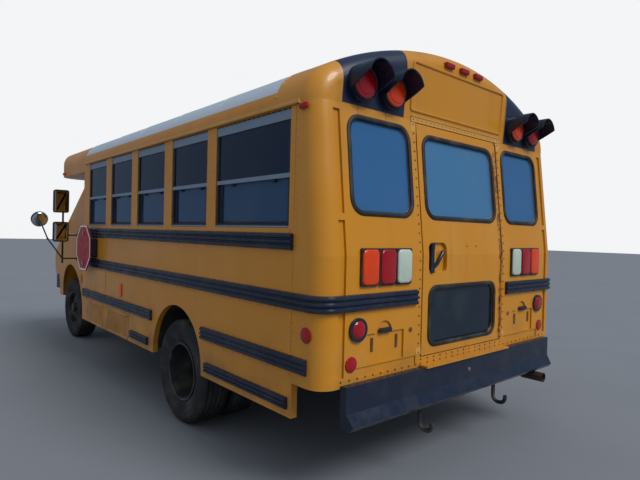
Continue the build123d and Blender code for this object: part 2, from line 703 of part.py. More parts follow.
def screen_space(shrink):
    """Region of the windshield: a band along its slope."""
    low = (station(COWL_X + 40), COWL_Z + 30 + shrink)
    high = (station(SCREEN_TOP_X + 55), 1915 - shrink)
    normal = 90
    band = [(low[0] - normal, low[1] - normal), (low[0] + normal, low[1]), (high[0] + normal, high[1]), (high[0] - normal, high[1] - normal)]
    return prism_y(band, -790 + shrink, 790 - shrink)


def windshield():
    outer = cab_solid(10)
    inner = cab_solid(16)
    glass = (outer - inner) & screen_space(SEAT_GAP)
    return glass.solids().sort_by(SortBy.VOLUME)[-1]


def driver_door():
    low, high = DOOR_SPAN
    leaf = (cab_solid(0) - cab_solid(60)) & block((station(low) + GAP, station(high) - GAP), (CAB_HALF - 250, CAB_HALF + 20),
                                                 (DOOR_Z[0] + GAP, DOOR_Z[1] - GAP))
    reach = high - low - GAP - GAP / 2
    leaf = leaf & bar_z(reach, DOOR_HINGE_X, DOOR_HINGE_Y, DOOR_Z[0] - 10, DOOR_Z[1] + 10)
    leaf -= door_window(0)
    for z in DOOR_HINGE_ZS:
        leaf += block((DOOR_HINGE_X - 32, DOOR_HINGE_X), (CAB_HALF - 25, DOOR_HINGE_Y), (z, z + HINGE_LENGTH))
        leaf += bar_z(HINGE_RADIUS, DOOR_HINGE_X, DOOR_HINGE_Y, z, z + HINGE_LENGTH)
    return leaf


def door_window(shrink):
    low, high = DOOR_SPAN
    return block((station(low + 90) + shrink, station(high - 60) - shrink), (CAB_HALF - 260, CAB_HALF + 20),
                 (COWL_Z + 40 + shrink, DOOR_Z[1] - 70 - shrink))


def driver_door_glass():
    return (cab_solid(20) - cab_solid(26)) & door_window(SEAT_GAP)


def grille():
    """Grille with bars, between two headlamp housings."""
    x_low = station(NOSE_X) - 58
    x_high = station(NOSE_X) + 10
    frame = block((x_low, x_high), (-755, 755), (765, 995))
    for side in (1, -1):
        frame -= block((x_low + 20, x_high + 5), sorted((side * 480, side * 740)), (785, 975))
    bars = 6
    pitch = 200 / bars
    for index in range(bars):
        z = 780 + index * pitch
        frame -= block((x_low - 5, x_high + 5), (-440, 440), (z, z + pitch - 12))
    return frame


def headlamps():
    x_low = station(NOSE_X) - 38
    lamps = []
    for side in (1, -1):
        lamps.append(block((x_low + SEAT_GAP, station(NOSE_X) + 14), sorted((side * 480.3, side * 739.7)), (785.3, 974.7)))
    return lamps


def front_bumper():
    """Formed bumper with swept-back ends."""
    depth = 130
    outline = [
        (X_NOSE - 250, 960), (X_NOSE - 90, 985), (X_NOSE, 780), (X_NOSE, -780), (X_NOSE - 90, -985), (X_NOSE - 250, -960),
        (X_NOSE - 250, -900), (X_NOSE - 130, -900), (X_NOSE - 70, -740), (X_NOSE - 70, 740), (X_NOSE - 130, 900), (X_NOSE - 250, 900),
    ]
    bar = prism_z(outline, 560, 745)
    brackets = [block((X_NOSE - depth, X_NOSE - 60), sorted((side * 330, side * 430)), (590, 655)) for side in (1, -1)]
    return join([bar] + brackets)


# Rear bumper
BUMPER_TOP_Z = 636
BUMPER_CREASE_Z = 500
BUMPER_LIP_Z = 440
BUMPER_LOW_Z = 415
BUMPER_END = 226


def plan_face(back, side_out, radius, z):
    """Plan of the bumper at one height: rounded at the two rear corners."""
    x_low = X_REAR - back
    x_high = station(BUMPER_END) + 40
    half = HALF + side_out
    lines = [
        Line((x_high, -half, z), (x_low + radius, -half, z)),
        RadiusArc((x_low + radius, -half, z), (x_low, -half + radius, z), -radius),
        Line((x_low, -half + radius, z), (x_low, half - radius, z)),
        RadiusArc((x_low, half - radius, z), (x_low + radius, half, z), -radius),
        Line((x_low + radius, half, z), (x_high, half, z)),
        Line((x_high, half, z), (x_high, -half, z)),
    ]
    return make_face(Wire(lines))


def rear_bumper():
    upper = extrude(plan_face(45, 4, 145, BUMPER_CREASE_Z), amount=BUMPER_TOP_Z - BUMPER_CREASE_Z, dir=(0, 0, 1))
    lower = loft([plan_face(REAR_BUMPER_DEPTH, 14, 170, BUMPER_LIP_Z), plan_face(45, 4, 145, BUMPER_CREASE_Z)], ruled=True)
    under = loft([plan_face(60, 0, 150, BUMPER_LOW_Z), plan_face(REAR_BUMPER_DEPTH, 14, 170, BUMPER_LIP_Z)], ruled=True)
    bumper = join([upper, lower, under])
    ends = block((X_REAR + 35, station(BUMPER_END)), (-HALF - 4, HALF + 4), (BUMPER_TOP_Z - 5, 681))
    bumper += ends
    bumper -= block((X_REAR - 5, station(BUMPER_END) + 60), (-HALF + 25, HALF - 25), (0, 900))
    bumper -= block((station(BUMPER_END), station(BUMPER_END) + 60), (-HALF - 40, HALF + 40), (0, 900))
    bumper -= rear_shell(-SEAT_GAP, station(REAR_SEAM) + 50)
    bumper -= block((X_REAR - 5, station(BUMPER_END) + 60), (-HALF - SEAT_GAP, HALF + SEAT_GAP), (REAR_LOW_Z - 1, 900))
    return bumper.solids().sort_by(SortBy.VOLUME)[-1]


def bumper_step():
    return block((X_REAR - 62, X_REAR - SEAT_GAP), (-455, 455), (BUMPER_TOP_Z, BUMPER_TOP_Z + 12))


# Chassis
TANK_TOP_Z = RAIL_LOW_Z + 10


def frame():
    x_low = X_REAR + 40
    x_high = X_NOSE - 130
    parts = []
    for side in (1, -1):
        rail = block((x_low, x_high), sorted((side * RAIL_Y, side * (RAIL_Y - RAIL_WIDTH))), (RAIL_LOW_Z, RAIL_HIGH_Z))
        rail -= block((x_low - 5, x_high + 5), sorted((side * (RAIL_Y - 8), side * (RAIL_Y - RAIL_WIDTH - 5))), (RAIL_LOW_Z + 8, RAIL_HIGH_Z - 8))
        parts.append(rail)
    gearbox_end = FRONT_AXLE_X - ENGINE_BEHIND - GEARBOX_LENGTH
    engine_end = FRONT_AXLE_X - ENGINE_BEHIND + ENGINE_LENGTH
    for x in (60, 900, 2300, 3200, gearbox_end - 100, engine_end + 80):
        parts.append(block((station(x), station(x) + 60), (-RAIL_Y + 4, RAIL_Y - 4), (RAIL_LOW_Z + 20, RAIL_HIGH_Z - 20)))
    outrigger = HALF - WALL - OUTRIGGER_GAP
    for x in (400, 1000, 2250, 2700, 3300):
        parts.append(block((station(x), station(x) + 50), (-outrigger, outrigger), (RAIL_HIGH_Z, FLOOR_Z - FLOOR_THICK)))
    for x in (250, 620):
        strap_z = TANK_TOP_Z + SEAT_GAP
        parts.append(block((station(x), station(x) + 40), (-RAIL_Y + 4, RAIL_Y - 4), (strap_z, strap_z + 10)))
    for side in (1, -1):
        parts.append(block((X_REAR - 4, X_REAR + 140), sorted((side * 395, side * 425)), (470, 560)))
        hook = tube([(X_REAR + 20, side * 410, 480), (X_REAR + 20, side * 410, 262), (X_REAR - 70, side * 410, 262),
                     (X_REAR - 70, side * 410, 318)], 40, 13)
        parts.append(hook)
    return join(parts)


ENGINE_BEHIND = 385
ENGINE_LENGTH = 690
GEARBOX_LENGTH = 630


def powertrain():
    """Engine as a plain block, gearbox and propeller shaft."""
    rear = X_FRONT_AXLE - ENGINE_BEHIND
    gear = rear - GEARBOX_LENGTH
    engine = block((rear, rear + ENGINE_LENGTH), (-280, 280), (430, 1000))
    gearbox = prism_y([(rear, 640), (rear, 380), (gear, 420), (gear, 560)], -140, 140)
    shaft = prism_y([(gear + 20, 505), (gear + 20, 445), (X_REAR_AXLE + 150, 345), (X_REAR_AXLE + 150, 405)], -32, 32)
    return join([engine, gearbox, shaft])


def fuel_tank():
    """Tank between the frame rails, behind the rear axle."""
    tank = block((station(130), station(780)), (-325, 325), (340, TANK_TOP_Z))
    return fillet(tank.edges().filter_by(Axis.X), 50)


CONDENSER_LENGTH = 1050
CONDENSER_SETBACK = 260


def condenser():
    """Skirt-mounted cooling unit behind the perforated panels."""
    end = X_BODY_FRONT - CONDENSER_SETBACK
    return block((end - CONDENSER_LENGTH, end), (900, HALF - WALL - SEAT_GAP), (450, 655))


TAILPIPE_RADIUS = 34


def exhaust():
    """Pipe under the right rail, over the axle and out at the right rear corner."""
    y = -300
    low_z = 390
    over_z = 468
    route = [(station(4300), y, low_z), (station(2350), y, low_z), (station(1950), y, over_z), (station(900), y, over_z),
             (station(330), -900, 370), (X_REAR - 100, -900, 366)]
    run = tube(route, 120, 28)
    tip = bar_x(TAILPIPE_RADIUS, -900, 366, X_REAR - 104, X_REAR + 60)
    muffler = bar_x(90, y, low_z, station(2700), station(3300))
    bore = bar_x(TAILPIPE_RADIUS - 3, -900, 366, X_REAR - 110, X_REAR + 20)
    seat = RAIL_LOW_Z - SEAT_GAP
    hangers = [
        block((station(1480), station(1510)), (-400, -285), (485, seat)),
        block((station(3600), station(3630)), (-400, -295), (400, 412)),
        block((station(3600), station(3630)), (-400, -388), (400, seat)),
        bar_z(8, station(425), -800, 395, RAIL_HIGH_Z - SEAT_GAP),
    ]
    return join([run, muffler, tip] + hangers) - bore


def rear_axle():
    y_end = 690
    parts = [bar_y(52, X_REAR_AXLE, TYRE_RADIUS, -y_end, y_end)]
    hub_y = REAR_TYRE_FACE - TYRE_WIDTH / 2 + REAR_HUB_LOW
    for side in (1, -1):
        parts.append(bar_y(150, X_REAR_AXLE, TYRE_RADIUS, *sorted((side * (y_end - 5), side * (hub_y - 20)))))
        parts.append(bar_y(REAR_SPINDLE, X_REAR_AXLE, TYRE_RADIUS, *sorted((side * 700, side * (hub_y + BORE_DEPTH - 5)))))
    parts.append(Pos(X_REAR_AXLE, 0, TYRE_RADIUS) * Sphere(135))
    parts.append(bar_x(55, 0, TYRE_RADIUS, X_REAR_AXLE, X_REAR_AXLE + 150))
    for side in (1, -1):
        ys = sorted((side * 500, side * 576))
        spring = prism_y([
            (X_REAR_AXLE - 640, 505), (X_REAR_AXLE - 60, 424), (X_REAR_AXLE + 60, 424), (X_REAR_AXLE + 600, 505),
            (X_REAR_AXLE + 600, 525), (X_REAR_AXLE + 60, 480), (X_REAR_AXLE - 60, 480), (X_REAR_AXLE - 640, 525)], *ys)
        parts.append(spring)
        parts.append(block((X_REAR_AXLE - 60, X_REAR_AXLE + 60), ys, (360, 430)))
        for x in (X_REAR_AXLE - 640, X_REAR_AXLE + 600):
            parts.append(block((x - 40, x + 40), sorted((side * RAIL_Y, side * 576)), (495, 620)))
    return join(parts)


# low and high Z, half width at the crossmember, pin radius
CONTROL_ARMS = [(262, 304, 130, 16), (476, 496, 90, 12)]


def front_axle():
    """Crossmember with control arms whose eyes hold the kingpins."""
    parts = [block((X_FRONT_AXLE - 90, X_FRONT_AXLE + 90), (-400, 400), (300, 400))]
    for side in (1, -1):
        inner = side * 385
        outer = side * (KINGPIN_Y - 45)
        for low, high, root, pin in CONTROL_ARMS:
            arm = prism_z([(X_FRONT_AXLE - root, inner), (X_FRONT_AXLE + root, inner), (X_FRONT_AXLE + 34, outer),
                           (X_FRONT_AXLE - 34, outer)], low, high)
            eye = bar_z(34, X_FRONT_AXLE, side * KINGPIN_Y, low, high)
            link = block((X_FRONT_AXLE - 28, X_FRONT_AXLE + 28), sorted((outer, side * KINGPIN_Y)), (low, high))
            parts.append(join([arm, eye, link]) - bar_z(pin + RUN_GAP, X_FRONT_AXLE, side * KINGPIN_Y, low - 5, high + 5))
        parts.append(block((X_FRONT_AXLE - 60, X_FRONT_AXLE + 60), sorted((side * 380, side * 425)), (262, RAIL_LOW_Z)))
        parts.append(bar_z(45, X_FRONT_AXLE, side * 560, 295, 470))
    return join(parts)


def knuckle(side):
    """Steering knuckle with its kingpin and stub shaft."""
    y = side * KINGPIN_Y
    lower, upper = CONTROL_ARMS
    post_zs = (lower[1] + SEAT_GAP, upper[0] - SEAT_GAP)
    post = block((X_FRONT_AXLE - 30, X_FRONT_AXLE + 30), (y - 32, y + 32), post_zs)
    lower_pin = bar_z(lower[3], X_FRONT_AXLE, y, lower[0], post_zs[0] + 5)
    upper_pin = bar_z(upper[3], X_FRONT_AXLE, y, post_zs[1] - 5, upper[1])
    hub_y = FRONT_TYRE_FACE - TYRE_WIDTH / 2 + FRONT_HUB_LOW
    stub = bar_y(FRONT_SPINDLE, X_FRONT_AXLE, TYRE_RADIUS, *sorted((y, side * (hub_y + BORE_DEPTH - 5))))
    arm = block((X_FRONT_AXLE - 150, X_FRONT_AXLE), (y - 15, y + 15), (330, 360))
    return join([post, lower_pin, upper_pin, stub, arm])


# Wheels
def tyre(face_y, side):
    """Tyre whose outer face lies at face_y; side is the outward direction."""
    inner = face_y - side * TYRE_WIDTH
    mid = (face_y + inner) / 2
    # radius and distance from the middle plane, from the bead to the tread
    half = [(RIM_RADIUS, 78), (RIM_RADIUS + 18, 92), (RIM_RADIUS + 85, TYRE_WIDTH / 2), (TYRE_RADIUS - 50, 106),
            (TYRE_RADIUS - 8, 88), (TYRE_RADIUS, 72)]
    points = [(r, mid - out) for r, out in half] + [(r, mid + out) for r, out in reversed(half)]
    face = make_face(Polyline(*[(r, y, 0) for r, y in points], close=True))
    return revolve(face, Axis.Y, 360)


def turned(points, mid, side):
    """Ring turned from (radius, distance outward of mid) points."""
    face = make_face(Polyline(*[(r, mid + side * out, 0) for r, out in points], close=True))
    return revolve(face, Axis.Y, 360)


HAND_HOLES = 8
HAND_HOLE_RING = 160
HAND_HOLE_RADIUS = 18


def rim(face_y, side, disc_out):
    """Steel rim; disc_out is how far its disc lies outward of the rim's middle."""
    mid = face_y - side * TYRE_WIDTH / 2
    outer = RIM_RADIUS - SEAT_GAP
    barrel = turned([(outer, -92), (outer, 92), (outer - 10, 96), (outer - 14, -96)], mid, side)
    dish = 30 if disc_out > 0 else -30
    disc = turned([(70, disc_out - 8), (150, disc_out - 8), (outer - 5, disc_out - dish - 8),
                   (outer - 5, disc_out - dish + 8), (150, disc_out + 8), (70, disc_out + 8)], mid, side)
    plane_y = mid + side * disc_out
    for index in range(HAND_HOLES):
        angle = 2 * math.pi * index / HAND_HOLES
        x, z = HAND_HOLE_RING * math.cos(angle), HAND_HOLE_RING * math.sin(angle)
        disc -= bar_y(HAND_HOLE_RADIUS, x, z, plane_y - 60, plane_y + 60)
    return barrel + disc


def hub(mid, side, low, high, bore):
    """Hub that fills the disc's centre, with its stepped cap outward and a bore for its spindle."""
    outline = [(bore, low), (72, low), (72, high - 45), (58, high - 40), (52, high), (0, high), (0, low + BORE_DEPTH),
               (bore, low + BORE_DEPTH)]
    return turned(outline, mid, side)


def at_axle(shape, x):
    return Pos(x, 0, TYRE_RADIUS) * shape


# Lamps
WARNING_Z = 2190
WARNING_Y = (915, 675)
TAIL_LAMP_Z = (1125, 1325)
TAIL_LAMP_Y = [(828, 962), (692, 824), (557, 688)]


def hooded_lamp(x, y, z, direction):
    """Round lamp with a visor: returns the black housing and the lens."""
    base = bar_x(98, y, z, *sorted((x - direction * 30, x + direction * 22)))
    visor = bar_x(100, y, z, *sorted((x + direction * 15, x + direction * 150)))
    visor -= bar_x(92, y, z, *sorted((x + direction * 10, x + direction * 160)))
    cut = prism_y([(x + direction * 22, z - 120), (x + direction * 22, z - 40), (x + direction * 150, z + 25),
                   (x + direction * 160, z + 25), (x + direction * 160, z - 120)], y - 120, y + 120)
    lens = bar_x(82, y, z, *sorted((x + direction * 22, x + direction * 42)))
    return base + (visor - cut), lens


def lamps():
    black, red, amber, clear = [], [], [], []
    rear = rear_x(WARNING_Z) - 8
    front = station(NOSE_CAP_X) + SEAT_GAP
    tail_cap = cap_solid(-SEAT_GAP, station(CAP_SEAM))
    nose_cap = nose_cap_solid(-SEAT_GAP, NOSE_CAP_LOW_Z - SEAT_GAP, X_BODY_FRONT)
    for side in (1, -1):
        for y, colour in zip(WARNING_Y, (red, amber)):
            housing, lens = hooded_lamp(rear, side * y, WARNING_Z, -1)
            black.append(housing - tail_cap)
            colour.append(lens)
        for low, high, group in [(*TAIL_LAMP_Y[0], amber), (*TAIL_LAMP_Y[1], red), (*TAIL_LAMP_Y[2], clear)]:
            ys = sorted((side * low, side * high))
            group.append(block((X_REAR - 24, X_REAR - SEAT_GAP), ys, TAIL_LAMP_Z))
        black.append(bar_x(62, side * 970, 905, X_REAR - 14, X_REAR - SEAT_GAP))
        red.append(bar_x(47, side * 970, 905, X_REAR - 24, X_REAR - 14))
        red.append(bar_x(40, side * 1012, 732, X_REAR - 8, X_REAR - SEAT_GAP))
        red.append(bar_y(40, station(110), 886, *sorted((side * (HALF + SEAT_GAP), side * (HALF + 8)))))
        amber.append(rounded_side(station(2693), 852, 60, 120, 20, *sorted((side * (HALF + SEAT_GAP), side * (HALF + 10)))))
        red.append(block((station(130), station(190)), sorted((side * (HALF + SEAT_GAP), side * (HALF + 22))), (2020, 2050)))
        xs = (station(NOSE_CAP_X - 305), station(NOSE_CAP_X - 245))
        amber.append(block(xs, sorted((side * (HALF + SEAT_GAP), side * (HALF + 20))), (2000, 2030)))
    for y in (-160, 0, 160):
        marker = block((rear_x(2460) - 20, rear_x(2460) + 40), (y - 45, y + 45), (2440, 2474))
        red.append(marker - tail_cap)
        marker = block((station(NOSE_CAP_X - 200), station(NOSE_CAP_X) - 60), (y - 45, y + 45), (2360, 2395))
        amber.append(marker - nose_cap)
    for side in (1, -1):
        for y, colour in ((780, red), (540, amber)):
            housing, lens = hooded_lamp(front, side * y, 2090, 1)
            black.append(housing - nose_cap)
            colour.append(lens)
    return black, red, amber, clear


# Stop arm
STOP_X = BODY_LENGTH - 270
STOP_Z = 1195
STOP_HINGE_X = BODY_LENGTH - 30
STOP_HINGE_Y = HALF + 64.5


def stop_arm_base():
    x = station(STOP_HINGE_X)
    box = block((station(STOP_HINGE_X - 440), x), (HALF + SEAT_GAP, HALF + 55), (STOP_Z - 85, STOP_Z + 85))
    box = fillet(box.edges().filter_by(Axis.Y), 15)
    for side in (1, -1):
        zs = sorted((STOP_Z + side * (60 + SEAT_GAP), STOP_Z + side * 78))
        box += block((x - 20, x), (HALF + 50, STOP_HINGE_Y), zs) + bar_z(8, x, STOP_HINGE_Y, *zs)
    return box


def stop_sign():
    across = 450
    plate = extrude(Plane(origin=(station(STOP_X), HALF + 68, STOP_Z), x_dir=(1, 0, 0), z_dir=(0, -1, 0)) *
                    Rot(0, 0, 22.5) * RegularPolygon(across / 2 / math.cos(math.pi / 8), 8), amount=10, dir=(0, 1, 0))
    arm = block((station(STOP_X) + 60, station(STOP_HINGE_X)), (HALF + 61, HALF + 68), (STOP_Z - 60, STOP_Z + 60))
    return plate + arm + bar_z(8, station(STOP_HINGE_X), STOP_HINGE_Y, STOP_Z - 60, STOP_Z + 60)


# Mirrors
def cab_half_at(z):
    """Half width of the cab's side at a height, clear of its skin."""
    if z < 900:
        return CAB_HALF + SEAT_GAP
    return CAB_HALF - 5 * (z - 900) / (COWL_Z - 900) + SEAT_GAP


def mirror_set():
    """Flat and convex heads on a pole, and the round crossview mirror ahead, on the left."""
    x = station(NOSE_CAP_X - 35)
    pole_y = 1170
    parts = [bar_z(11, x + 20, pole_y, 960, 1845)]
    for low, high in ((1570, 1845), (1220, 1460)):
        head = block((x - 25, x + 12), (1115, 1285), (low, high))
        parts.append(fillet(head.edges().filter_by(Axis.X), 25))
    for z in (1015, 1300):
        parts.append(bar_y(8, x + 20, z, cab_half_at(z), pole_y))
    cross = (station(NOSE_X + 65), 1200, 1500)
    elbow = (station(COWL_X + 70), 1190, 1240)
    parts.append(Pos(*cross) * Rot(0, 75, 0) * Cylinder(105, 24))
    parts.append(rod((x + 20, pole_y, 1015), elbow, 9))
    parts.append(rod(elbow, cross, 9))
    parts.append(Pos(*elbow) * Sphere(14))
    return parts


# Interior
SEAT_PITCH = 690
SEAT_DEPTH = 400
KNEE_ROOM = 100
SEAT_LENGTH = 960
SEAT_START = 420
SEAT_ROWS = 1 + int((BODY_LENGTH - WALL - KNEE_ROOM - SEAT_DEPTH - SEAT_START) / SEAT_PITCH)
DRIVER_SETBACK = 1050


def bench(x, y_low, y_high):
    """High-backed passenger bench on its legs, facing forward."""
    cushion = block((x, x + SEAT_DEPTH), (y_low, y_high), (FLOOR_Z + 300, FLOOR_Z + 430))
    cushion = fillet(cushion.edges().filter_by(Axis.Y), 40)
    back = prism_y([(x - 5, FLOOR_Z + 330), (x + 90, FLOOR_Z + 330), (x + 10, FLOOR_Z + 980), (x - 60, FLOOR_Z + 1000),
                    (x - 90, FLOOR_Z + 960)], y_low, y_high)
    parts = [cushion, back]
    middle = (y_low + y_high) / 2
    toward = -1 if middle > 0 else 1
    leg_y = middle + toward * (SEAT_LENGTH / 2 - 120)
    parts.append(block((x + 60, x + 340), (leg_y - 15, leg_y + 15), (FLOOR_Z, FLOOR_Z + 310)))
    return join(parts)


def passenger_seats():
    seats = []
    wall_y = HALF - WALL - 5
    for row in range(SEAT_ROWS):
        x = station(SEAT_START + row * SEAT_PITCH)
        seats.append(bench(x, wall_y - SEAT_LENGTH, wall_y))
        seats.append(bench(x, -wall_y, -wall_y + SEAT_LENGTH))
    return seats


def driver_seat():
    x = station(FIREWALL_X - DRIVER_SETBACK)
    y = 480
    parts = [block((x, x + 450), (y - 240, y + 240), (CAB_FLOOR_Z + 280, CAB_FLOOR_Z + 400)),
             prism_y([(x - 20, CAB_FLOOR_Z + 300), (x + 110, CAB_FLOOR_Z + 300), (x + 10, CAB_FLOOR_Z + 1000),
                      (x - 90, CAB_FLOOR_Z + 1000)], y - 230, y + 230),
             block((x + 60, x + 400), (y - 190, y + 190), (CAB_FLOOR_Z, CAB_FLOOR_Z + 285))]
    return join(parts)


def dashboard():
    """Dash, steering column and wheel, and the engine cover between the seats."""
    front = station(FIREWALL_X)
    dash = prism_y([(front + 200, 1190), (front + 200, 1270), (front + 60, 1290), (front - 190, 1230), (front - 210, 1100),
                    (front - 100, 960), (front, 960), (front, 1190)], -850, 850)
    cover_rear = X_FRONT_AXLE - ENGINE_BEHIND - 110
    cover = block((cover_rear, front), (-330, 330), (CAB_FLOOR_Z, 1130))
    engine_space = block((cover_rear + 20, cover_rear + 820), (-305, 305), (400, 1025))
    column = Pos(front - 230, 480, 1150) * Rot(0, -58, 0) * Cylinder(28, 300)
    wheel = Pos(front - 350, 480, 1225) * Rot(0, -58, 0) * Torus(190, 16)
    spokes = Pos(front - 350, 480, 1225) * Rot(0, -58, 0) * Box(60, 370, 14)
    return join([dash, cover, column, wheel, spokes]) - engine_space


os.makedirs("parts", exist_ok=True)


def save(name, shapes):
    shape = together(shapes) if isinstance(shapes, list) else shapes
    export_step(shape, f"parts/{name}.step")


save("frame", frame())
save("powertrain", powertrain())
save("fuel_tank", fuel_tank())
save("condenser", condenser())
save("exhaust", exhaust())
save("rear_axle", rear_axle())
save("front_axle", front_axle())
save("rear_bumper", rear_bumper())
save("bumper_step", bumper_step())
save("front_bumper", front_bumper())

inner_face = REAR_TYRE_FACE - TYRE_WIDTH - TWIN_GAP
for name, side in (("left", 1), ("right", -1)):
    save(f"knuckle_{name}", knuckle(side))
    save(f"tyre_front_{name}", at_axle(tyre(side * FRONT_TYRE_FACE, side), X_FRONT_AXLE))
    front_mid = side * (FRONT_TYRE_FACE - TYRE_WIDTH / 2)
    front_wheel = rim(side * FRONT_TYRE_FACE, side, 50) + hub(front_mid, side, FRONT_HUB_LOW, 105, FRONT_SPINDLE + RUN_GAP)
    save(f"rim_front_{name}", at_axle(front_wheel, X_FRONT_AXLE))
    save(f"tyres_rear_{name}", [at_axle(tyre(side * face, side), X_REAR_AXLE) for face in (REAR_TYRE_FACE, inner_face)])
    outer_mid = side * (REAR_TYRE_FACE - TYRE_WIDTH / 2)
    twins = [rim(side * REAR_TYRE_FACE, side, -TWIN_DISC), rim(side * inner_face, side, TWIN_DISC),
             hub(outer_mid, side, REAR_HUB_LOW, -TWIN_DISC + 95, REAR_SPINDLE + RUN_GAP)]
    save(f"rims_rear_{name}", at_axle(join(twins), X_REAR_AXLE))

save("floor", body_floor())
save("wheel_housings", [wheel_housing(1), wheel_housing(-1)])
save("step_well", step_well())
save("side_wall_left", side_wall(1))
save("side_wall_right", side_wall(-1))
save("rear_wall", rear_wall())
save("roof", roof())
save("rear_cap", rear_cap())
save("front_cap", front_cap())
save("bulkhead", bulkhead())
save("rub_rails", rub_rails(1) + rub_rails(-1))

left_frames, left_panes = side_windows(1)
right_frames, right_panes = side_windows(-1)
save("window_frames", left_frames + right_frames)
save("fixed_glass", left_panes + right_panes + [tail_pane(1), tail_pane(-1), windshield()])

save("emergency_door", emergency_door())
save("emergency_glass", emergency_panes())
for name, is_front in (("front", True), ("rear", False)):
    leaf, panes = entry_leaf(is_front)
    save(f"entry_leaf_{name}", leaf)
    save(f"entry_glass_{name}", panes)

save("cab_shell", cab_shell())
save("hood", hood())
save("grille", grille())
save("driver_door", driver_door())
save("driver_door_glass", driver_door_glass())
save("dashboard", dashboard())
save("driver_seat", driver_seat())
save("passenger_seats", passenger_seats())

black_parts, red_parts, amber_parts, clear_parts = lamps()
save("lamp_hoods", black_parts)
save("red_lenses", red_parts)
save("amber_lenses", amber_parts)
save("clear_lenses", clear_parts + headlamps())
save("stop_arm_base", stop_arm_base())
save("stop_sign", stop_sign())
left_mirrors = join(mirror_set())
save("mirrors", [left_mirrors, mirrored(left_mirrors)])
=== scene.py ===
import itertools
import json
import math

import bmesh
import bpy
import numpy as np
from mathutils import Matrix, Vector


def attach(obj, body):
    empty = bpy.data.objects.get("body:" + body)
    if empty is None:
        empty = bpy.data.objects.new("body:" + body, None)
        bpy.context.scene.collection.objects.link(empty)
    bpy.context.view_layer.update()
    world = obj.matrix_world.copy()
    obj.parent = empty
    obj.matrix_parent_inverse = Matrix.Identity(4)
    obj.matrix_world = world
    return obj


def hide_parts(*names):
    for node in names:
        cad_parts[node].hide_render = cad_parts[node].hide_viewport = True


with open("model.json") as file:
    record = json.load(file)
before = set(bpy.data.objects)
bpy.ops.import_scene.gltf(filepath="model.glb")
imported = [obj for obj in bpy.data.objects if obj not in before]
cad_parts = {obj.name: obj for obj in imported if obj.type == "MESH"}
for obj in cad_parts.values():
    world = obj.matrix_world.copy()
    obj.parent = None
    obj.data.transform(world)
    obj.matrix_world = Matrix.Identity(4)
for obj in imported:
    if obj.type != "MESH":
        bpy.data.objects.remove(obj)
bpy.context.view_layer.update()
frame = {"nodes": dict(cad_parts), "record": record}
NODES = frame["nodes"]

# Sizes of the body in metres
X_REAR = -2.9325
HALF = 1.22
EAVE_Z = 2.07
KINK_Z = 1.284
REAR_LEAN = 0.084
CAP_BACK = 0.034
ROOF_R = 2.35
SHOULDER_R = 0.23
ROOF_CENTRE_Z = EAVE_Z - math.sqrt((ROOF_R - SHOULDER_R) ** 2 - (HALF - SHOULDER_R) ** 2)
ROOF_Z = ROOF_CENTRE_Z + ROOF_R
REAR_AXLE_X = -1.3475
FRONT_AXLE_X = 2.1825
AXLE_Z = 0.372
SASH_Z = 1.697


def st(x):
    """X of a station, given in metres ahead of the rear face."""
    return X_REAR + x


def rear_x(z):
    """X of the rear wall's outer face at a height."""
    if z <= KINK_Z:
        return X_REAR
    if z <= EAVE_Z:
        return X_REAR + REAR_LEAN * (z - KINK_Z) / (EAVE_Z - KINK_Z)
    return X_REAR + REAR_LEAN - CAP_BACK * (z - EAVE_Z) / (ROOF_Z - EAVE_Z)


# Camera solved from the photograph
CAM_AT = Vector((-4.7443, 2.8105, 1.3944))
CAM_YAW, CAM_PITCH, CAM_ROLL = math.radians(-40.944), math.radians(-0.7329), math.radians(1.406)
FOCAL_PIXELS = 502.768
PICTURE_WIDTH = 640
SENSOR = 36


def new_object(name, data):
    obj = bpy.data.objects.new(name, data)
    bpy.context.scene.collection.objects.link(obj)
    return obj


def add_camera():
    level = math.cos(CAM_PITCH)
    ahead = Vector((math.cos(CAM_YAW) * level, math.sin(CAM_YAW) * level, math.sin(CAM_PITCH)))
    right = Vector((math.sin(CAM_YAW), -math.cos(CAM_YAW), 0))
    up = right.cross(ahead)
    rolled_right = right * math.cos(CAM_ROLL) + up * math.sin(CAM_ROLL)
    rolled_up = up * math.cos(CAM_ROLL) - right * math.sin(CAM_ROLL)
    camera = new_object("camera", bpy.data.cameras.new("camera"))
    camera.data.lens = FOCAL_PIXELS * SENSOR / PICTURE_WIDTH
    camera.data.sensor_width = SENSOR
    camera.data.clip_end = 200
    turn = Matrix((rolled_right, rolled_up, -ahead)).transposed().to_4x4()
    camera.matrix_world = Matrix.Translation(CAM_AT) @ turn
    bpy.context.scene.camera = camera


add_camera()


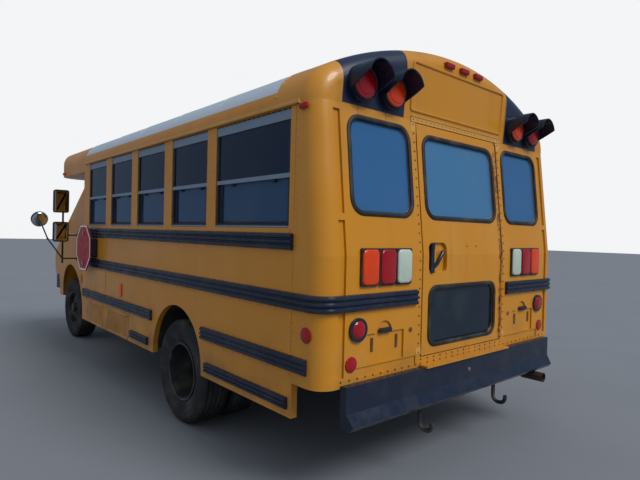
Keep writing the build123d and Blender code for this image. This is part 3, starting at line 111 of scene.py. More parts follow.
# Materials
class Nodes:
    """A material's node tree with short calls for what every finish here uses."""

    def __init__(self, name):
        self.mat = bpy.data.materials.new(name)
        self.mat.use_nodes = True
        self.tree = self.mat.node_tree
        self.shader = self.tree.nodes["Principled BSDF"]
        self.place = self.node("TexCoord").outputs["Object"]

    def feed(self, socket, value):
        """Give a socket a number, a colour, a vector or another node's output."""
        if isinstance(value, bpy.types.NodeSocket):
            self.tree.links.new(value, socket)
        elif socket.type == "RGBA":
            socket.default_value = (*value, 1)
        else:
            socket.default_value = value

    def node(self, kind, **inputs):
        node = self.tree.nodes.new("ShaderNode" + kind)
        for key, value in inputs.items():
            self.feed(node.inputs[key.replace("_", " ")], value)
        return node

    def set(self, **inputs):
        """Feed the shader's own inputs."""
        for key, value in inputs.items():
            self.feed(self.shader.inputs[key.replace("_", " ")], value)

    def noise(self, scale, detail=4.0, stretch=(1, 1, 1)):
        place = self.node("Mapping", Vector=self.place, Scale=stretch).outputs["Vector"]
        return self.node("TexNoise", Vector=place, Scale=scale, Detail=detail, Roughness=0.55).outputs["Fac"]

    def axis(self, name):
        return self.node("SeparateXYZ", Vector=self.place).outputs[name]

    def math(self, kind, a, b=0.0):
        node = self.node("Math")
        node.operation = kind
        self.feed(node.inputs[0], a)
        self.feed(node.inputs[1], b)
        return node.outputs[0]

    def times(self, product, *factors):
        for factor in factors:
            product = self.math("MULTIPLY", product, factor)
        return product

    def ramp(self, value, low, high, out_low=0.0, out_high=1.0):
        limits = dict(From_Min=low, From_Max=high, To_Min=out_low, To_Max=out_high)
        node = self.node("MapRange", Value=value, **limits)
        node.interpolation_type = "SMOOTHSTEP"
        return node.outputs["Result"]

    def mix(self, factor, a, b):
        node = self.node("Mix")
        node.data_type = "RGBA"
        for index, value in ((0, factor), (6, a), (7, b)):
            self.feed(node.inputs[index], value)
        return node.outputs[2]

    def bump(self, height, strength, distance=0.001):
        node = self.node("Bump", Height=height, Strength=strength, Distance=distance)
        self.set(Normal=node.outputs["Normal"])

    def band(self, value, low, high, soft=0.001):
        """1 where the value lies between low and high."""
        rise = self.ramp(value, low - soft, low + soft)
        return self.times(rise, self.ramp(value, high - soft, high + soft, 1, 0))


def srgb(r, g, b):
    return tuple(((c / 255 + 0.055) / 1.055) ** 2.4 if c > 10 else c / 255 / 12.92 for c in (r, g, b))


def toned(colour, share):
    return tuple(c * share for c in colour)


YELLOW = srgb(192, 126, 8)
YELLOW_PALE = srgb(200, 144, 58)
GRIME = srgb(96, 80, 58)
DUST = srgb(120, 110, 96)
RUBBER_DUST = srgb(92, 86, 78)
GLASS_DUST = srgb(150, 150, 145)
RUST = srgb(112, 62, 34)
# black paint of the lamp fields, tinted dark blue: the blue is a painted sheen of the sky
BLACK_AND_PAINTED_SHEEN = srgb(22, 34, 60)
ROOF_GREY = srgb(176, 188, 198)
# low and high |y|, low and high z of the black fields round the warning lamps
CAP_FIELD = (0.553, 1.040, 2.075, 2.480)
# |y| and half width of the rusty runs under the warning lamps
DRIPS = (0.705, 0.925)
DRIP_HALF = 0.008
DRIP_Z = (1.96, 2.04)
REAR_END = (st(0.150), st(0.152))
ROOF_WHITE_Z = 2.150
ROOF_WHITE_X = (st(0.424), st(3.836))
HINGE_RUST_Y = (-0.446, -0.405)
BULKHEAD_FACE = (st(3.828), st(3.829))


def worn_paint(name, base=YELLOW, pale=YELLOW_PALE, black_fields=False, rust_line=False, white_roof=False,
               drips=False):
    """Enamel with faded patches, run-down streaks, road grime low down and a slight orange peel."""
    n = Nodes(name)
    fade = n.ramp(n.noise(1.7, 5), 0.42, 0.72)
    streak = n.ramp(n.noise(9, 3, (1, 1, 0.06)), 0.52, 0.78)
    spots = n.ramp(n.noise(120, 2), 0.70, 0.78)
    dust = n.times(n.ramp(n.axis("Z"), 0.42, 1.0, 1, 0), n.ramp(n.noise(5, 6), 0.30, 0.75))
    colour = n.mix(n.times(fade, 0.35), base, pale)
    for cover, share in ((streak, 0.16), (dust, 0.5), (spots, 0.14)):
        colour = n.mix(n.times(cover, share), colour, GRIME)
    side = n.math("ABSOLUTE", n.axis("Y"))
    at_rear = n.ramp(n.axis("X"), *REAR_END, 1, 0)
    if drips:
        for at in DRIPS:
            run = n.times(n.ramp(side, at - DRIP_HALF, at), n.ramp(side, at, at + DRIP_HALF, 1, 0))
            run = n.times(run, n.ramp(n.axis("Z"), *DRIP_Z), at_rear)
            colour = n.mix(n.times(run, 0.5), colour, RUST)
    if black_fields:
        fields = n.times(n.band(side, *CAP_FIELD[:2]), n.band(n.axis("Z"), *CAP_FIELD[2:]), at_rear)
        # black fields, with a painted blue sky sheen in their colour
        colour = n.mix(fields, colour, BLACK_AND_PAINTED_SHEEN)
    if white_roof:
        top = n.ramp(n.axis("Z"), ROOF_WHITE_Z, ROOF_WHITE_Z + 0.004)
        colour = n.mix(n.times(top, n.band(n.axis("X"), *ROOF_WHITE_X)), colour, ROOF_GREY)
    if rust_line:
        near = n.times(n.band(n.axis("Y"), *HINGE_RUST_Y, 0.012), n.ramp(n.noise(38, 6), 0.40, 0.62))
        colour = n.mix(near, colour, RUST)
    gloss = n.ramp(n.noise(3, 4), 0.3, 0.8, 0.32, 0.48)
    n.set(Base_Color=colour, Roughness=n.math("ADD", gloss, n.times(dust, 0.25)))
    n.set(Coat_Weight=0.25, Coat_Roughness=0.12)
    n.bump(n.noise(420, 1), 0.05, 0.0006)
    return n.mat


def satin(name, base, rough=0.42, metallic=0.0, dust=0.35, bump=0.08, outside=None):
    """Satin finish with patches of dust; outside is the colour ahead of the bulkhead's front face."""
    n = Nodes(name)
    if outside:
        base = n.mix(n.ramp(n.axis("X"), *BULKHEAD_FACE), base, outside)
    cover = n.times(n.ramp(n.noise(6, 6), 0.42, 0.75), dust)
    n.set(Base_Color=n.mix(cover, base, DUST), Metallic=metallic,
          Roughness=n.ramp(n.noise(14, 4), 0.3, 0.75, rough, rough + 0.2))
    n.bump(n.noise(160, 3), bump, 0.0012)
    return n.mat


def lens(name, base, depth, strength=0.5):
    """Moulded lamp plastic with a fine grid of prisms under its surface."""
    n = Nodes(name)
    waves = []
    for direction in ("Y", "Z"):
        wave = n.node("TexWave", Vector=n.place, Scale=26)
        wave.bands_direction = direction
        waves.append(wave.outputs["Fac"])
    grid = n.math("MAXIMUM", *waves)
    shade = n.ramp(n.noise(9, 4), 0.3, 0.8, 0, 0.25)
    ribs = n.ramp(grid, 0.5, 1.0, 0, depth)
    n.set(Base_Color=n.mix(n.math("ADD", ribs, shade), base, toned(base, 0.45)))
    n.set(Roughness=0.14, Coat_Weight=0.3, Coat_Roughness=0.04)
    n.bump(grid, strength, 0.0015)
    return n.mat


def pane(name, base, alpha, film=0.14, low=None, low_z=1.25):
    """Tinted glass with a film of dust; where low is given, another tone below a height, a painted
    reflection.
    """
    n = Nodes(name)
    # the tone below low_z differs from the one above it: a painted reflection
    if low:
        base = n.mix(n.ramp(n.axis("Z"), low_z - 0.004, low_z + 0.004, 1, 0), base, low)
    cover = n.ramp(n.noise(2.5, 6), 0.45, 0.85, 0, film)
    n.set(Base_Color=n.mix(cover, base, GLASS_DUST), Roughness=n.ramp(n.noise(4, 5), 0.4, 0.8, 0.04, 0.14),
          Alpha=alpha, Coat_Weight=0.2, Coat_Roughness=0.02, IOR=1.42)
    return n.mat


def rubber(name, base, rough=0.8):
    n = Nodes(name)
    cover = n.times(n.ramp(n.noise(7, 6), 0.40, 0.78), 0.5)
    n.set(Base_Color=n.mix(cover, base, RUBBER_DUST), Roughness=rough)
    n.bump(n.noise(260, 4), 0.12, 0.001)
    return n.mat


def bare_metal(name, base, rough=0.35, rust=0.0):
    """Brushed metal, rusty in patches where rust is given."""
    n = Nodes(name)
    brush = n.noise(90, 3, (1, 1, 0.08))
    colour = n.mix(n.ramp(brush, 0.3, 0.8, 0, 0.25), base, toned(base, 0.6))
    if rust:
        colour = n.mix(n.times(n.ramp(n.noise(16, 7), 0.35, 0.65), rust), colour, RUST)
    n.set(Base_Color=colour, Roughness=n.ramp(brush, 0.2, 0.8, rough, rough + 0.2), Metallic=1 - 0.6 * rust)
    n.bump(n.noise(200, 3), 0.08, 0.001)
    return n.mat


def vinyl(name, base):
    """Seat cover with a fine grain and a soft sheen."""
    n = Nodes(name)
    n.set(Base_Color=n.mix(n.ramp(n.noise(3, 5), 0.3, 0.8, 0, 0.4), base, toned(base, 1.6)), Roughness=0.48)
    n.bump(n.node("TexVoronoi", Vector=n.place, Scale=380).outputs["Distance"], 0.25, 0.0006)
    return n.mat


FINISHES = (
    # maker, then each material's name and what the maker is given
    (worn_paint, {
        "yellow_paint": {},
        # paler yellow: on the drip rails the paleness is a painted highlight along the rail
        "trim_paint": dict(base=YELLOW_PALE, pale=srgb(214, 168, 98)),
        "wall_paint": dict(drips=True),
        "cap_paint": dict(black_fields=True, drips=True),
        "roof_paint": dict(white_roof=True),
        "door_paint": dict(rust_line=True),
    }),
    (satin, {
        # black paint tinted dark blue: the blue is a painted sheen of the sky
        "black_paint": dict(base=srgb(18, 28, 48), rough=0.20, dust=0.06),
        "chassis_black": dict(base=srgb(38, 38, 38), rough=0.6, dust=0.6, bump=0.2),
        "cast_metal": dict(base=srgb(92, 92, 90), rough=0.6, metallic=0.3, dust=0.5, bump=0.25),
        "wheel_paint": dict(base=srgb(40, 41, 43), dust=0.5, bump=0.12),
        "sash_metal": dict(base=srgb(128, 146, 164), rough=0.36, metallic=0.35, dust=0.15),
        "inner_paint": dict(base=srgb(150, 152, 146), rough=0.5, dust=0.2),
        "bulkhead_paint": dict(base=srgb(150, 152, 146), rough=0.5, dust=0.2, outside=YELLOW),
        "dash_plastic": dict(base=srgb(82, 82, 80), rough=0.6, dust=0.15),
        "grille_plastic": dict(base=srgb(46, 47, 49), rough=0.45, dust=0.3),
        "sign_red": dict(base=srgb(160, 24, 38), rough=0.4, dust=0.18),
        "sign_white": dict(base=srgb(232, 230, 224), rough=0.45, dust=0.12),
        "frame_dark": dict(base=srgb(30, 38, 50), rough=0.4, dust=0.1),
        "mirror_plastic": dict(base=srgb(32, 33, 35), rough=0.45, dust=0.25),
    }),
    (bare_metal, {
        "exhaust_steel": dict(base=srgb(84, 78, 74), rough=0.55, rust=0.5),
        "bright_metal": dict(base=srgb(196, 198, 200), rough=0.22),
        "rusty_steel": dict(base=srgb(120, 96, 76), rough=0.55, rust=0.9),
        "mirror_glass": dict(base=srgb(205, 212, 216), rough=0.03),
    }),
    (rubber, {
        "tyre_rubber": dict(base=srgb(34, 34, 36)),
        "seal_rubber": dict(base=srgb(24, 24, 26), rough=0.6),
        "floor_rubber": dict(base=srgb(40, 40, 40)),
    }),
    (pane, {
        "tinted_glass": dict(base=srgb(16, 30, 50), alpha=0.90, film=0.07),
        # tail and door glass: their pale blue is a painted reflection of the sky; the dark low tone of the
        # door glass and the lighter low tone of the side glass are painted reflections of the ground
        "tail_glass": dict(base=srgb(50, 96, 142), alpha=0.94, film=0.05),
        "door_glass": dict(base=srgb(66, 114, 154), alpha=0.92, film=0.08, low=srgb(14, 32, 46)),
        "side_glass": dict(base=srgb(10, 24, 50), alpha=0.92, film=0.05, low=srgb(40, 68, 102),
                           low_z=SASH_Z),
        "clear_glass": dict(base=srgb(30, 42, 52), alpha=0.55),
    }),
    (lens, {
        "red_lens": dict(base=srgb(158, 0, 14), depth=0.28),
        "amber_lens": dict(base=srgb(222, 62, 0), depth=0.25),
        "clear_lens": dict(base=srgb(182, 196, 182), strength=0.2, depth=0.08),
    }),
    (vinyl, {"seat_vinyl": dict(base=srgb(66, 74, 70))}),
)
M = {name: make(name, **options) for make, rows in FINISHES for name, options in rows.items()}
# nodes with a finish of their own in place of their slot's
SPECIAL = {"rear_cap": "cap_paint", "emergency_door": "door_paint", "roof": "roof_paint",
           "rear_wall": "wall_paint", "emergency_glass": "door_glass", "bulkhead": "bulkhead_paint"}


def dress_frame():
    """Give every carried-over node its finish."""
    slots = {row["node"]: row["material_slot"] for row in frame["record"]["subparts"]}
    for name, obj in NODES.items():
        obj.data.materials.clear()
        obj.data.materials.append(M[SPECIAL.get(name, slots[name])])


dress_frame()


# Studio
SUN_FROM = Vector((-6.5, -1.5, 7))
SUN_ENERGY = 2.1
SUN_WIDTH = 25
STAGE = 60
LIGHT_SKY = ((0.92, 0.95, 1.0, 1), 1.15)
OTHER_SKIES = (
    # colour, strength and the rays that see it
    ((0.55, 0.74, 1.0, 1), 0.26, ("Is Glossy Ray",)),
    ((0.90, 0.91, 0.92, 1), 1.0, ("Is Camera Ray", "Is Transmission Ray")),
)


def add_sky():
    """Pale sky to the camera, a soft sky for light, and a darker, bluer one for reflections."""
    world = bpy.data.worlds.new("studio")
    bpy.context.scene.world = world
    world.use_nodes = True
    tree = world.node_tree

    def background(node, colour, strength):
        node.inputs["Color"].default_value = colour
        node.inputs["Strength"].default_value = strength
        return node.outputs[0]

    shown = background(tree.nodes["Background"], *LIGHT_SKY)
    path = tree.nodes.new("ShaderNodeLightPath")
    for colour, strength, rays in OTHER_SKIES:
        sky = background(tree.nodes.new("ShaderNodeBackground"), colour, strength)
        seen = tree.nodes.new("ShaderNodeMath")
        seen.operation = "MAXIMUM"
        for index, ray in enumerate(rays):
            tree.links.new(path.outputs[ray], seen.inputs[index])
        pick = tree.nodes.new("ShaderNodeMixShader")
        for index, output in enumerate((seen.outputs[0], shown, sky)):
            tree.links.new(output, pick.inputs[index])
        shown = pick.outputs[0]
    tree.links.new(shown, tree.nodes["World Output"].inputs[0])


def add_studio():
    add_sky()
    mesh = bpy.data.meshes.new("floor_stage")
    corners = [(-STAGE, -STAGE, 0), (STAGE, -STAGE, 0), (STAGE, STAGE, 0), (-STAGE, STAGE, 0)]
    mesh.from_pydata(corners, [], [(0, 1, 2, 3)])
    floor = new_object("floor_stage", mesh)
    n = Nodes("floor_pale")
    patches = n.ramp(n.noise(0.8, 4), 0.3, 0.8, 0, 0.3)
    n.set(Base_Color=n.mix(patches, srgb(114, 118, 124), srgb(100, 105, 112)), Roughness=0.9)
    floor.data.materials.append(n.mat)
    sun = new_object("sun", bpy.data.lights.new("sun", "SUN"))
    sun.data.energy = SUN_ENERGY
    sun.data.angle = math.radians(SUN_WIDTH)
    sun.rotation_euler = SUN_FROM.to_track_quat("Z", "Y").to_euler()
    bpy.context.scene.view_settings.view_transform = "Standard"


add_studio()


# Mesh building
BACK, AHEAD, LEFT = (-1, 0, 0), (1, 0, 0), (0, 1, 0)
SIDES = ((1, "left"), (-1, "right"))
CORNER_STEP = (12, 6, 3)


def circle(centre, u, v, radius, sides):
    """Points round a centre in the plane of two unit vectors."""
    turns = [2 * math.pi * k / sides for k in range(sides)]
    return [centre + (u * math.cos(t) + v * math.sin(t)) * radius for t in turns]


def box_faces():
    """Faces of a chamfered box that has three points at each corner, one for each axis."""
    faces = []
    for axis, u, v in ((0, 1, 2), (1, 2, 0), (2, 0, 1)):
        def point(side, a, b, of):
            return side * CORNER_STEP[axis] + a * CORNER_STEP[u] + b * CORNER_STEP[v] + of

        for side in (0, 1):
            faces.append([point(side, a, b, axis) for a, b in ((0, 0), (1, 0), (1, 1), (0, 1))])
        faces += [[point(0, a, b, u), point(0, a, b, v), point(1, a, b, v), point(1, a, b, u)]
                  for a, b in itertools.product((0, 1), repeat=2)]
    return faces + [[3 * k, 3 * k + 1, 3 * k + 2] for k in range(8)]


class Form:
    """Gathers small forms into one mesh."""

    def __init__(self):
        self.points = []
        self.faces = []

    def add(self, points, faces):
        base = len(self.points)
        self.points += [tuple(p) for p in points]
        self.faces += [tuple(base + i for i in face) for face in faces]

    def box(self, low, high, chamfer=0.002):
        """Box with every edge chamfered."""
        low, high = Vector(low), Vector(high)
        chamfer = min(chamfer, *((high - low) * 0.45))
        points = []
        for corner in itertools.product((0, 1), repeat=3):
            for axis in range(3):
                cuts = [0 if k == axis else chamfer for k in range(3)]
                ends = zip(corner, low, high, cuts)
                points.append([b - cut if side else a + cut for side, a, b, cut in ends])
        self.add(points, box_faces())

    def loft(self, rings, cap=True, loop=False):
        """Skin through rings of equal point counts, with capped ends or closed into a loop."""
        count = len(rings[0])
        faces = []
        for i in range(len(rings) if loop else len(rings) - 1):
            a, b = i * count, (i + 1) % len(rings) * count
            faces += [(a + j, a + (j + 1) % count, b + (j + 1) % count, b + j) for j in range(count)]
        if cap and not loop:
            faces.append(tuple(range(count))[::-1])
            faces.append(tuple((len(rings) - 1) * count + j for j in range(count)))
        self.add([p for ring in rings for p in ring], faces)

    def turn(self, profile, centre, axis, sides=32, cap=True):
        """Turned form: profile of (distance along the axis, radius)."""
        centre, axis = Vector(centre), Vector(axis).normalized()
        u = axis.orthogonal().normalized()
        v = axis.cross(u)
        rings = [circle(centre + axis * along, u, v, max(radius, 1e-5), sides) for along, radius in profile]
        self.loft(rings, cap)

    def dome(self, at, normal, radius, height, sides=8):
        """Rivet or bolt head."""
        profile = [(-0.001, radius), (height * 0.45, radius * 0.92), (height, radius * 0.45)]
        self.turn(profile, at, normal, sides)

    def tube(self, path, radius, sides=10):
        """Round bar along a path of points."""
        path = [Vector(p) for p in path]
        rings = []
        normal = None
        for i, point in enumerate(path):
            ahead = (path[min(i + 1, len(path) - 1)] - path[max(i - 1, 0)]).normalized()
            normal = ahead.orthogonal() if normal is None else normal - ahead * normal.dot(ahead)
            normal.normalize()
            rings.append(circle(point, normal, ahead.cross(normal), radius, sides))
        self.loft(rings)

    def welt(self, path, radius, sides=6):
        """Round bar along a closed path."""
        rings = []
        middle = sum(path, Vector()) / len(path)
        for i, point in enumerate(path):
            ahead = (path[(i + 1) % len(path)] - path[i - 1]).normalized()
            away = (point - middle) - ahead * (point - middle).dot(ahead)
            away.normalize()
            rings.append(circle(point, away, ahead.cross(away), radius, sides))
        self.loft(rings, loop=True)

    def edging(self, outline, section, place):
        """Bar of a section (inward, out) along a closed outline; place turns (a, b, out) into a point."""
        rings = []
        for (a, b), (na, nb) in zip(outline, inward(outline)):
            rings.append([place(a + na * off, b + nb * off, out) for off, out in section])
        self.loft(rings, loop=True)

    def cover(self, outline, rows, place):
        """Crowned form over an outline, through rows of (inward, out)."""
        rings = []
        for off, out in rows:
            moved = [(a + na * off, b + nb * off) for (a, b), (na, nb) in zip(outline, inward(outline))]
            rings.append([place(a, b, out) for a, b in moved])
        self.loft(rings)

    def plate(self, bounds, outs, place, radius=0.002, steps=1):
        """Flat plate with round corners between low and high a, low and high b."""
        outline = rounded(*bounds, radius, steps)
        self.loft([[place(a, b, out) for a, b in outline] for out in outs])

    def screws(self, spots, place, out):
        """Small screw heads at (x, z) spots on the left side."""
        for x, z in spots:
            self.dome(place(x, z, out), LEFT, 0.005, 0.003)

    def piece(self, name, material, body="body", hides=(), angle=32):
        mesh = bpy.data.meshes.new(name)
        mesh.from_pydata(self.points, [], self.faces)
        bm = bmesh.new()
        bm.from_mesh(mesh)
        bmesh.ops.remove_doubles(bm, verts=bm.verts, dist=1e-6)
        bmesh.ops.recalc_face_normals(bm, faces=bm.faces)
        bm.to_mesh(mesh)
        bm.free()
        mesh.shade_smooth()
        mesh.set_sharp_from_angle(angle=math.radians(angle))
        mesh.materials.append(M[material])
        obj = new_object(name, mesh)
        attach(obj, body)
        if hides:
            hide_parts(*hides)
        return obj


def inward(outline):
    """Unit miter normals that point into a counter-clockwise outline."""
    normals = []
    count = len(outline)
    for i in range(count):
        (ax, ay), (bx, by), (cx, cy) = outline[i - 1], outline[i], outline[(i + 1) % count]
        first = Vector((ay - by, bx - ax)).normalized()
        second = Vector((by - cy, cx - bx)).normalized()
        total = first + second
        normals.append(tuple(total / max(total.dot(first), 0.3)))
    return normals


def rounded(a_low, a_high, b_low, b_high, radius, steps=6):
    """Counter-clockwise rectangle with round corners."""
    centres = ((a_high - radius, b_low + radius, -90), (a_high - radius, b_high - radius, 0),
               (a_low + radius, b_high - radius, 90), (a_low + radius, b_low + radius, 180))
    outline = []
    for a, b, start in centres:
        for k in range(steps + 1):
            angle = math.radians(start + 90 * k / steps)
            outline.append((a + radius * math.cos(angle), b + radius * math.sin(angle)))
    return outline


def blunt(a0, a1, b0, b1, cut):
    """Counter-clockwise rectangle with cut corners."""
    c, d = cut, 0.3 * cut
    return [(a0 + c, b0), (a1 - c, b0), (a1 - d, b0 + d), (a1, b0 + c), (a1, b1 - c), (a1 - d, b1 - d),
            (a1 - c, b1), (a0 + c, b1), (a0 + d, b1 - d), (a0, b1 - c), (a0, b0 + c), (a0 + d, b0 + d)]


def span(side, a, b):
    """Low and high Y between two distances from the middle plane on one side."""
    return sorted((side * a, side * b))


def on_rear(y, z, out):
    return Vector((rear_x(z) - out, y, z))


def on_side(side):
    """Places (x, z, out) on a side wall."""
    return lambda x, z, out: Vector((x, side * (HALF + out), z))


def facing(x, side=-1):
    """Places (y, z, out) on an upright plane across the bus at x."""
    return lambda y, z, out: Vector((x + side * out, y, z))


def rivet_row(form, start, end, pitch, place, radius=0.0055, lift=0):
    """Rivets from start to end, both (a, b)."""
    start, end = Vector(start), Vector(end)
    count = max(1, round((end - start).length / pitch))
    for k in range(count + 1):
        a, b = start.lerp(end, k / count)
        at, tip = place(a, b, lift), place(a, b, lift + 1)
        form.dome(at, tip - at, radius, 0.0028)


# Rear wall and emergency door
TAIL_GLASS = (0.500, 1.015, 1.492, 2.030, 0.095)
DOOR_GLASS = (-0.398, 0.398, 1.491, 2.010, 0.095)
DOOR_GLASS_LOW = (-0.365, 0.385, 0.735, 1.105, 0.075)
SEAL_WIDTH = 0.028
SEAL_HEIGHT = 0.009
SEAL_ARC = [math.pi * k / 5 for k in range(6)]
# half-round section of the rubber: (inward, out) points
SEAL = [(0, -0.003)]
SEAL += [(SEAL_WIDTH / 2 - math.cos(t) * SEAL_WIDTH / 2, SEAL_HEIGHT * math.sin(t)) for t in SEAL_ARC]
SEAL += [(SEAL_WIDTH, -0.003)]
SILL_Z = 0.695
LINTEL_Z = 2.062
WALL_RIVET = 0.0062
WALL_PITCH = 0.061
WALL_RIVET_Z = 0.652
KNUCKLES = 34
KNUCKLE_R = 0.0042


def seals():
    """Black rubber round the rear panes."""
    y0, y1, z0, z1, radius = TAIL_GLASS
    for side, word in SIDES:
        form = Form()
        form.edging(rounded(*span(side, y0, y1), z0, z1, radius), SEAL, on_rear)
        form.piece(f"tail_glass_seal_{word}", "seal_rubber")
    form = Form()
    for bounds in (DOOR_GLASS, DOOR_GLASS_LOW):
        form.edging(rounded(*bounds), SEAL, on_rear)
    form.piece("door_glass_seals", "seal_rubber", "emergency_door")


def rear_rivets():
    """Rivet rows of the rear wall, round the door and above the bumper."""
    dark, rusty = Form(), Form()
    for side, _ in SIDES:
        z = WALL_RIVET_Z
        rivet_row(dark, (side * 0.49, z), (side * 1.08, z), WALL_PITCH, on_rear, WALL_RIVET)
        rivet_row(rusty, (side * 0.466, 0.72), (side * 0.466, 2.05), 0.054, on_rear, lift=0.0015)
    for z in (WALL_RIVET_Z, WALL_RIVET_Z + 0.024):
        rivet_row(dark, (-0.44, z), (0.44, z), WALL_PITCH, on_rear, WALL_RIVET)
    rivet_row(rusty, (-0.465, 2.081), (0.465, 2.081), 0.040, on_rear, lift=0.003)
    dark.piece("rear_rivets", "chassis_black")
    rusty.piece("door_strip_rivets", "rusty_steel")


def door_trim():
    """Riveted door frame strips, the header over the door and the long hinge."""
    form, hinge = Form(), Form()
    for side, _ in SIDES:
        form.plate((*span(side, 0.4445, 0.4885), 0.71, LINTEL_Z), (-0.001, 0.0022), on_rear, 0.003)
    form.plate((-0.4885, 0.4885, 2.066, 2.100), (-0.001, 0.0040), on_rear, 0.003)
    form.plate((-0.4885, 0.4885, 2.096, 2.102), (-0.001, 0.0075), on_rear)
    form.piece("door_surround", "trim_paint")
    pitch = (LINTEL_Z - SILL_Z - 0.02) / KNUCKLES
    for k in range(KNUCKLES):
        z = SILL_Z + 0.01 + k * pitch
        at, tip = on_rear(-0.4425, z + 0.001, 0.002), on_rear(-0.4425, z + pitch - 0.002, 0.002)
        hinge.turn([(0, KNUCKLE_R), ((tip - at).length, KNUCKLE_R)], at, tip - at, 8)
    hinge.piece("door_hinge_knuckles", "rusty_steel")


def door_handle():
    """Upright bar and slanted lever in the door's recess, and two plugged holes beside it."""
    form, holes = Form(), Form()
    for aft, ahead, y0, y1, z0, z1 in ((0.008, 0.014, 0.338, 0.370, 1.178, 1.352),
                                       (0.010, 0.004, 0.336, 0.372, 1.176, 1.204),
                                       (0.010, 0.004, 0.338, 0.370, 1.318, 1.354)):
        form.box((X_REAR - aft, y0, z0), (X_REAR + ahead, y1, z1), 0.004)
    lever = [(X_REAR + 0.004, 0.345, 1.206), (X_REAR - 0.012, 0.325, 1.232), (X_REAR - 0.014, 0.285, 1.282),
             (X_REAR - 0.012, 0.268, 1.300)]
    form.tube(lever, 0.013, 12)
    form.dome(lever[-1], (0, -0.6, 0.6), 0.014, 0.009, 12)
    form.piece("door_handle_bars", "black_paint", "emergency_door")
    for y in (-0.015, -0.120):
        holes.turn([(-0.001, 0.006), (0.0006, 0.006)], (rear_x(1.336), y, 1.336), BACK, 12)
    holes.piece("door_plug_holes", "seal_rubber", "emergency_door")


TAIL_LAMPS = (
    # low and high |y|, lens material
    (0.828, 0.962, "amber_lens"),
    (0.692, 0.824, "red_lens"),
    (0.557, 0.688, "clear_lens"),
)
TAIL_LAMP_Z = (1.125, 1.325)
TAIL_LAMP_CUT = 0.026
TAIL_LAMP_BEZEL = [(0, -0.001), (0, 0.012), (0.005, 0.014), (0.007, 0.012), (0.007, -0.001)]
# inset and distance out of each ring of the lens
TAIL_LAMP_LENS = ((0.007, 0.004), (0.007, 0.017), (0.010, 0.021), (0.017, 0.0235))


def tail_lamps(lenses):
    """Rectangular lenses with cut corners, a black bezel and corner screws."""
    z0, z1 = TAIL_LAMP_Z
    bezel, screws = Form(), Form()
    for side, _ in SIDES:
        for low, high, colour in TAIL_LAMPS:
            y0, y1 = span(side, low, high)
            bezel.edging(rounded(y0, y1, z0, z1, 0.010, 2), TAIL_LAMP_BEZEL, facing(X_REAR))
            rings = []
            for inset, out in TAIL_LAMP_LENS:
                cut = TAIL_LAMP_CUT - 0.4 * inset
                outline = blunt(y0 + inset, y1 - inset, z0 + inset, z1 - inset, cut)
                rings.append([Vector((X_REAR - out, a, b)) for a, b in outline])
            lenses[colour].loft(rings)
            for y, z in itertools.product((y0 + 0.014, y1 - 0.014), (z0 + 0.014, z1 - 0.014)):
                screws.turn([(0, 0.0085), (0.012, 0.0085), (0.0145, 0.006)], (X_REAR, y, z), BACK, 10)
    bezel.piece("tail_lamp_bezels", "seal_rubber")
    screws.piece("tail_lamp_screws", "black_paint")


STOP_RING = [(0, 0.062), (0.010, 0.062), (0.014, 0.058), (0.012, 0.047), (0.004, 0.046)]
STOP_LENS = [(0.004, 0.046), (0.014, 0.0455), (0.020, 0.038), (0.0235, 0.020), (0.024, 0.002)]
REFLECTOR = [(0, 0.040), (0.005, 0.040), (0.008, 0.035), (0.008, 0.002)]
MARKERS = (
    # station, z, distance out, lens material
    (0.130, 2.020, 0.022, "red_lens"),
    (4.560, 2.000, 0.020, "amber_lens"),
)
MARKER_LENGTH = 0.060
MARKER_HEIGHT = 0.030


def round_lamps(lenses):
    """Round stop lamps, reflectors and side markers."""
    rings, red = Form(), lenses["red_lens"]
    for side, _ in SIDES:
        at = (X_REAR, side * 0.970, 0.905)
        rings.turn(STOP_RING, at, BACK, 40)
        red.turn(STOP_LENS, at, BACK, 40)
        red.turn(REFLECTOR, (X_REAR, side * 1.012, 0.732), BACK)
        red.turn(REFLECTOR, (st(0.110), side * HALF, 0.886), (0, side, 0))
        for x, z, proud, colour in MARKERS:
            y0, y1 = span(side, HALF + 0.0003, HALF + proud)
            lenses[colour].box((st(x), y0, z), (st(x + MARKER_LENGTH), y1, z + MARKER_HEIGHT), 0.006)
    rings.piece("stop_lamp_rings", "black_paint")


CAP_LAMP_X = rear_x(2.190) - 0.008
FRONT_LAMP_X = st(4.8653)
WARNING_LAMPS = (
    # plane X, |y|, z, direction, lens material
    (CAP_LAMP_X, 0.915, 2.190, -1, "red_lens"),
    (CAP_LAMP_X, 0.675, 2.190, -1, "amber_lens"),
    (FRONT_LAMP_X, 0.780, 2.090, 1, "red_lens"),
    (FRONT_LAMP_X, 0.540, 2.090, 1, "amber_lens"),
)
WARNING_RIM = [(0.020, 0.092), (0.030, 0.092), (0.034, 0.088), (0.030, 0.083), (0.022, 0.083)]
WARNING_LENS = [(0.022, 0.0825), (0.032, 0.0815), (0.036, 0.076), (0.038, 0.066), (0.0405, 0.064)]
WARNING_LENS += [(0.0405 + 0.0014 * k, 0.064 * math.cos(math.radians(14 * k))) for k in range(1, 7)]
VISOR_R = 0.096
VISOR_STEPS = 24


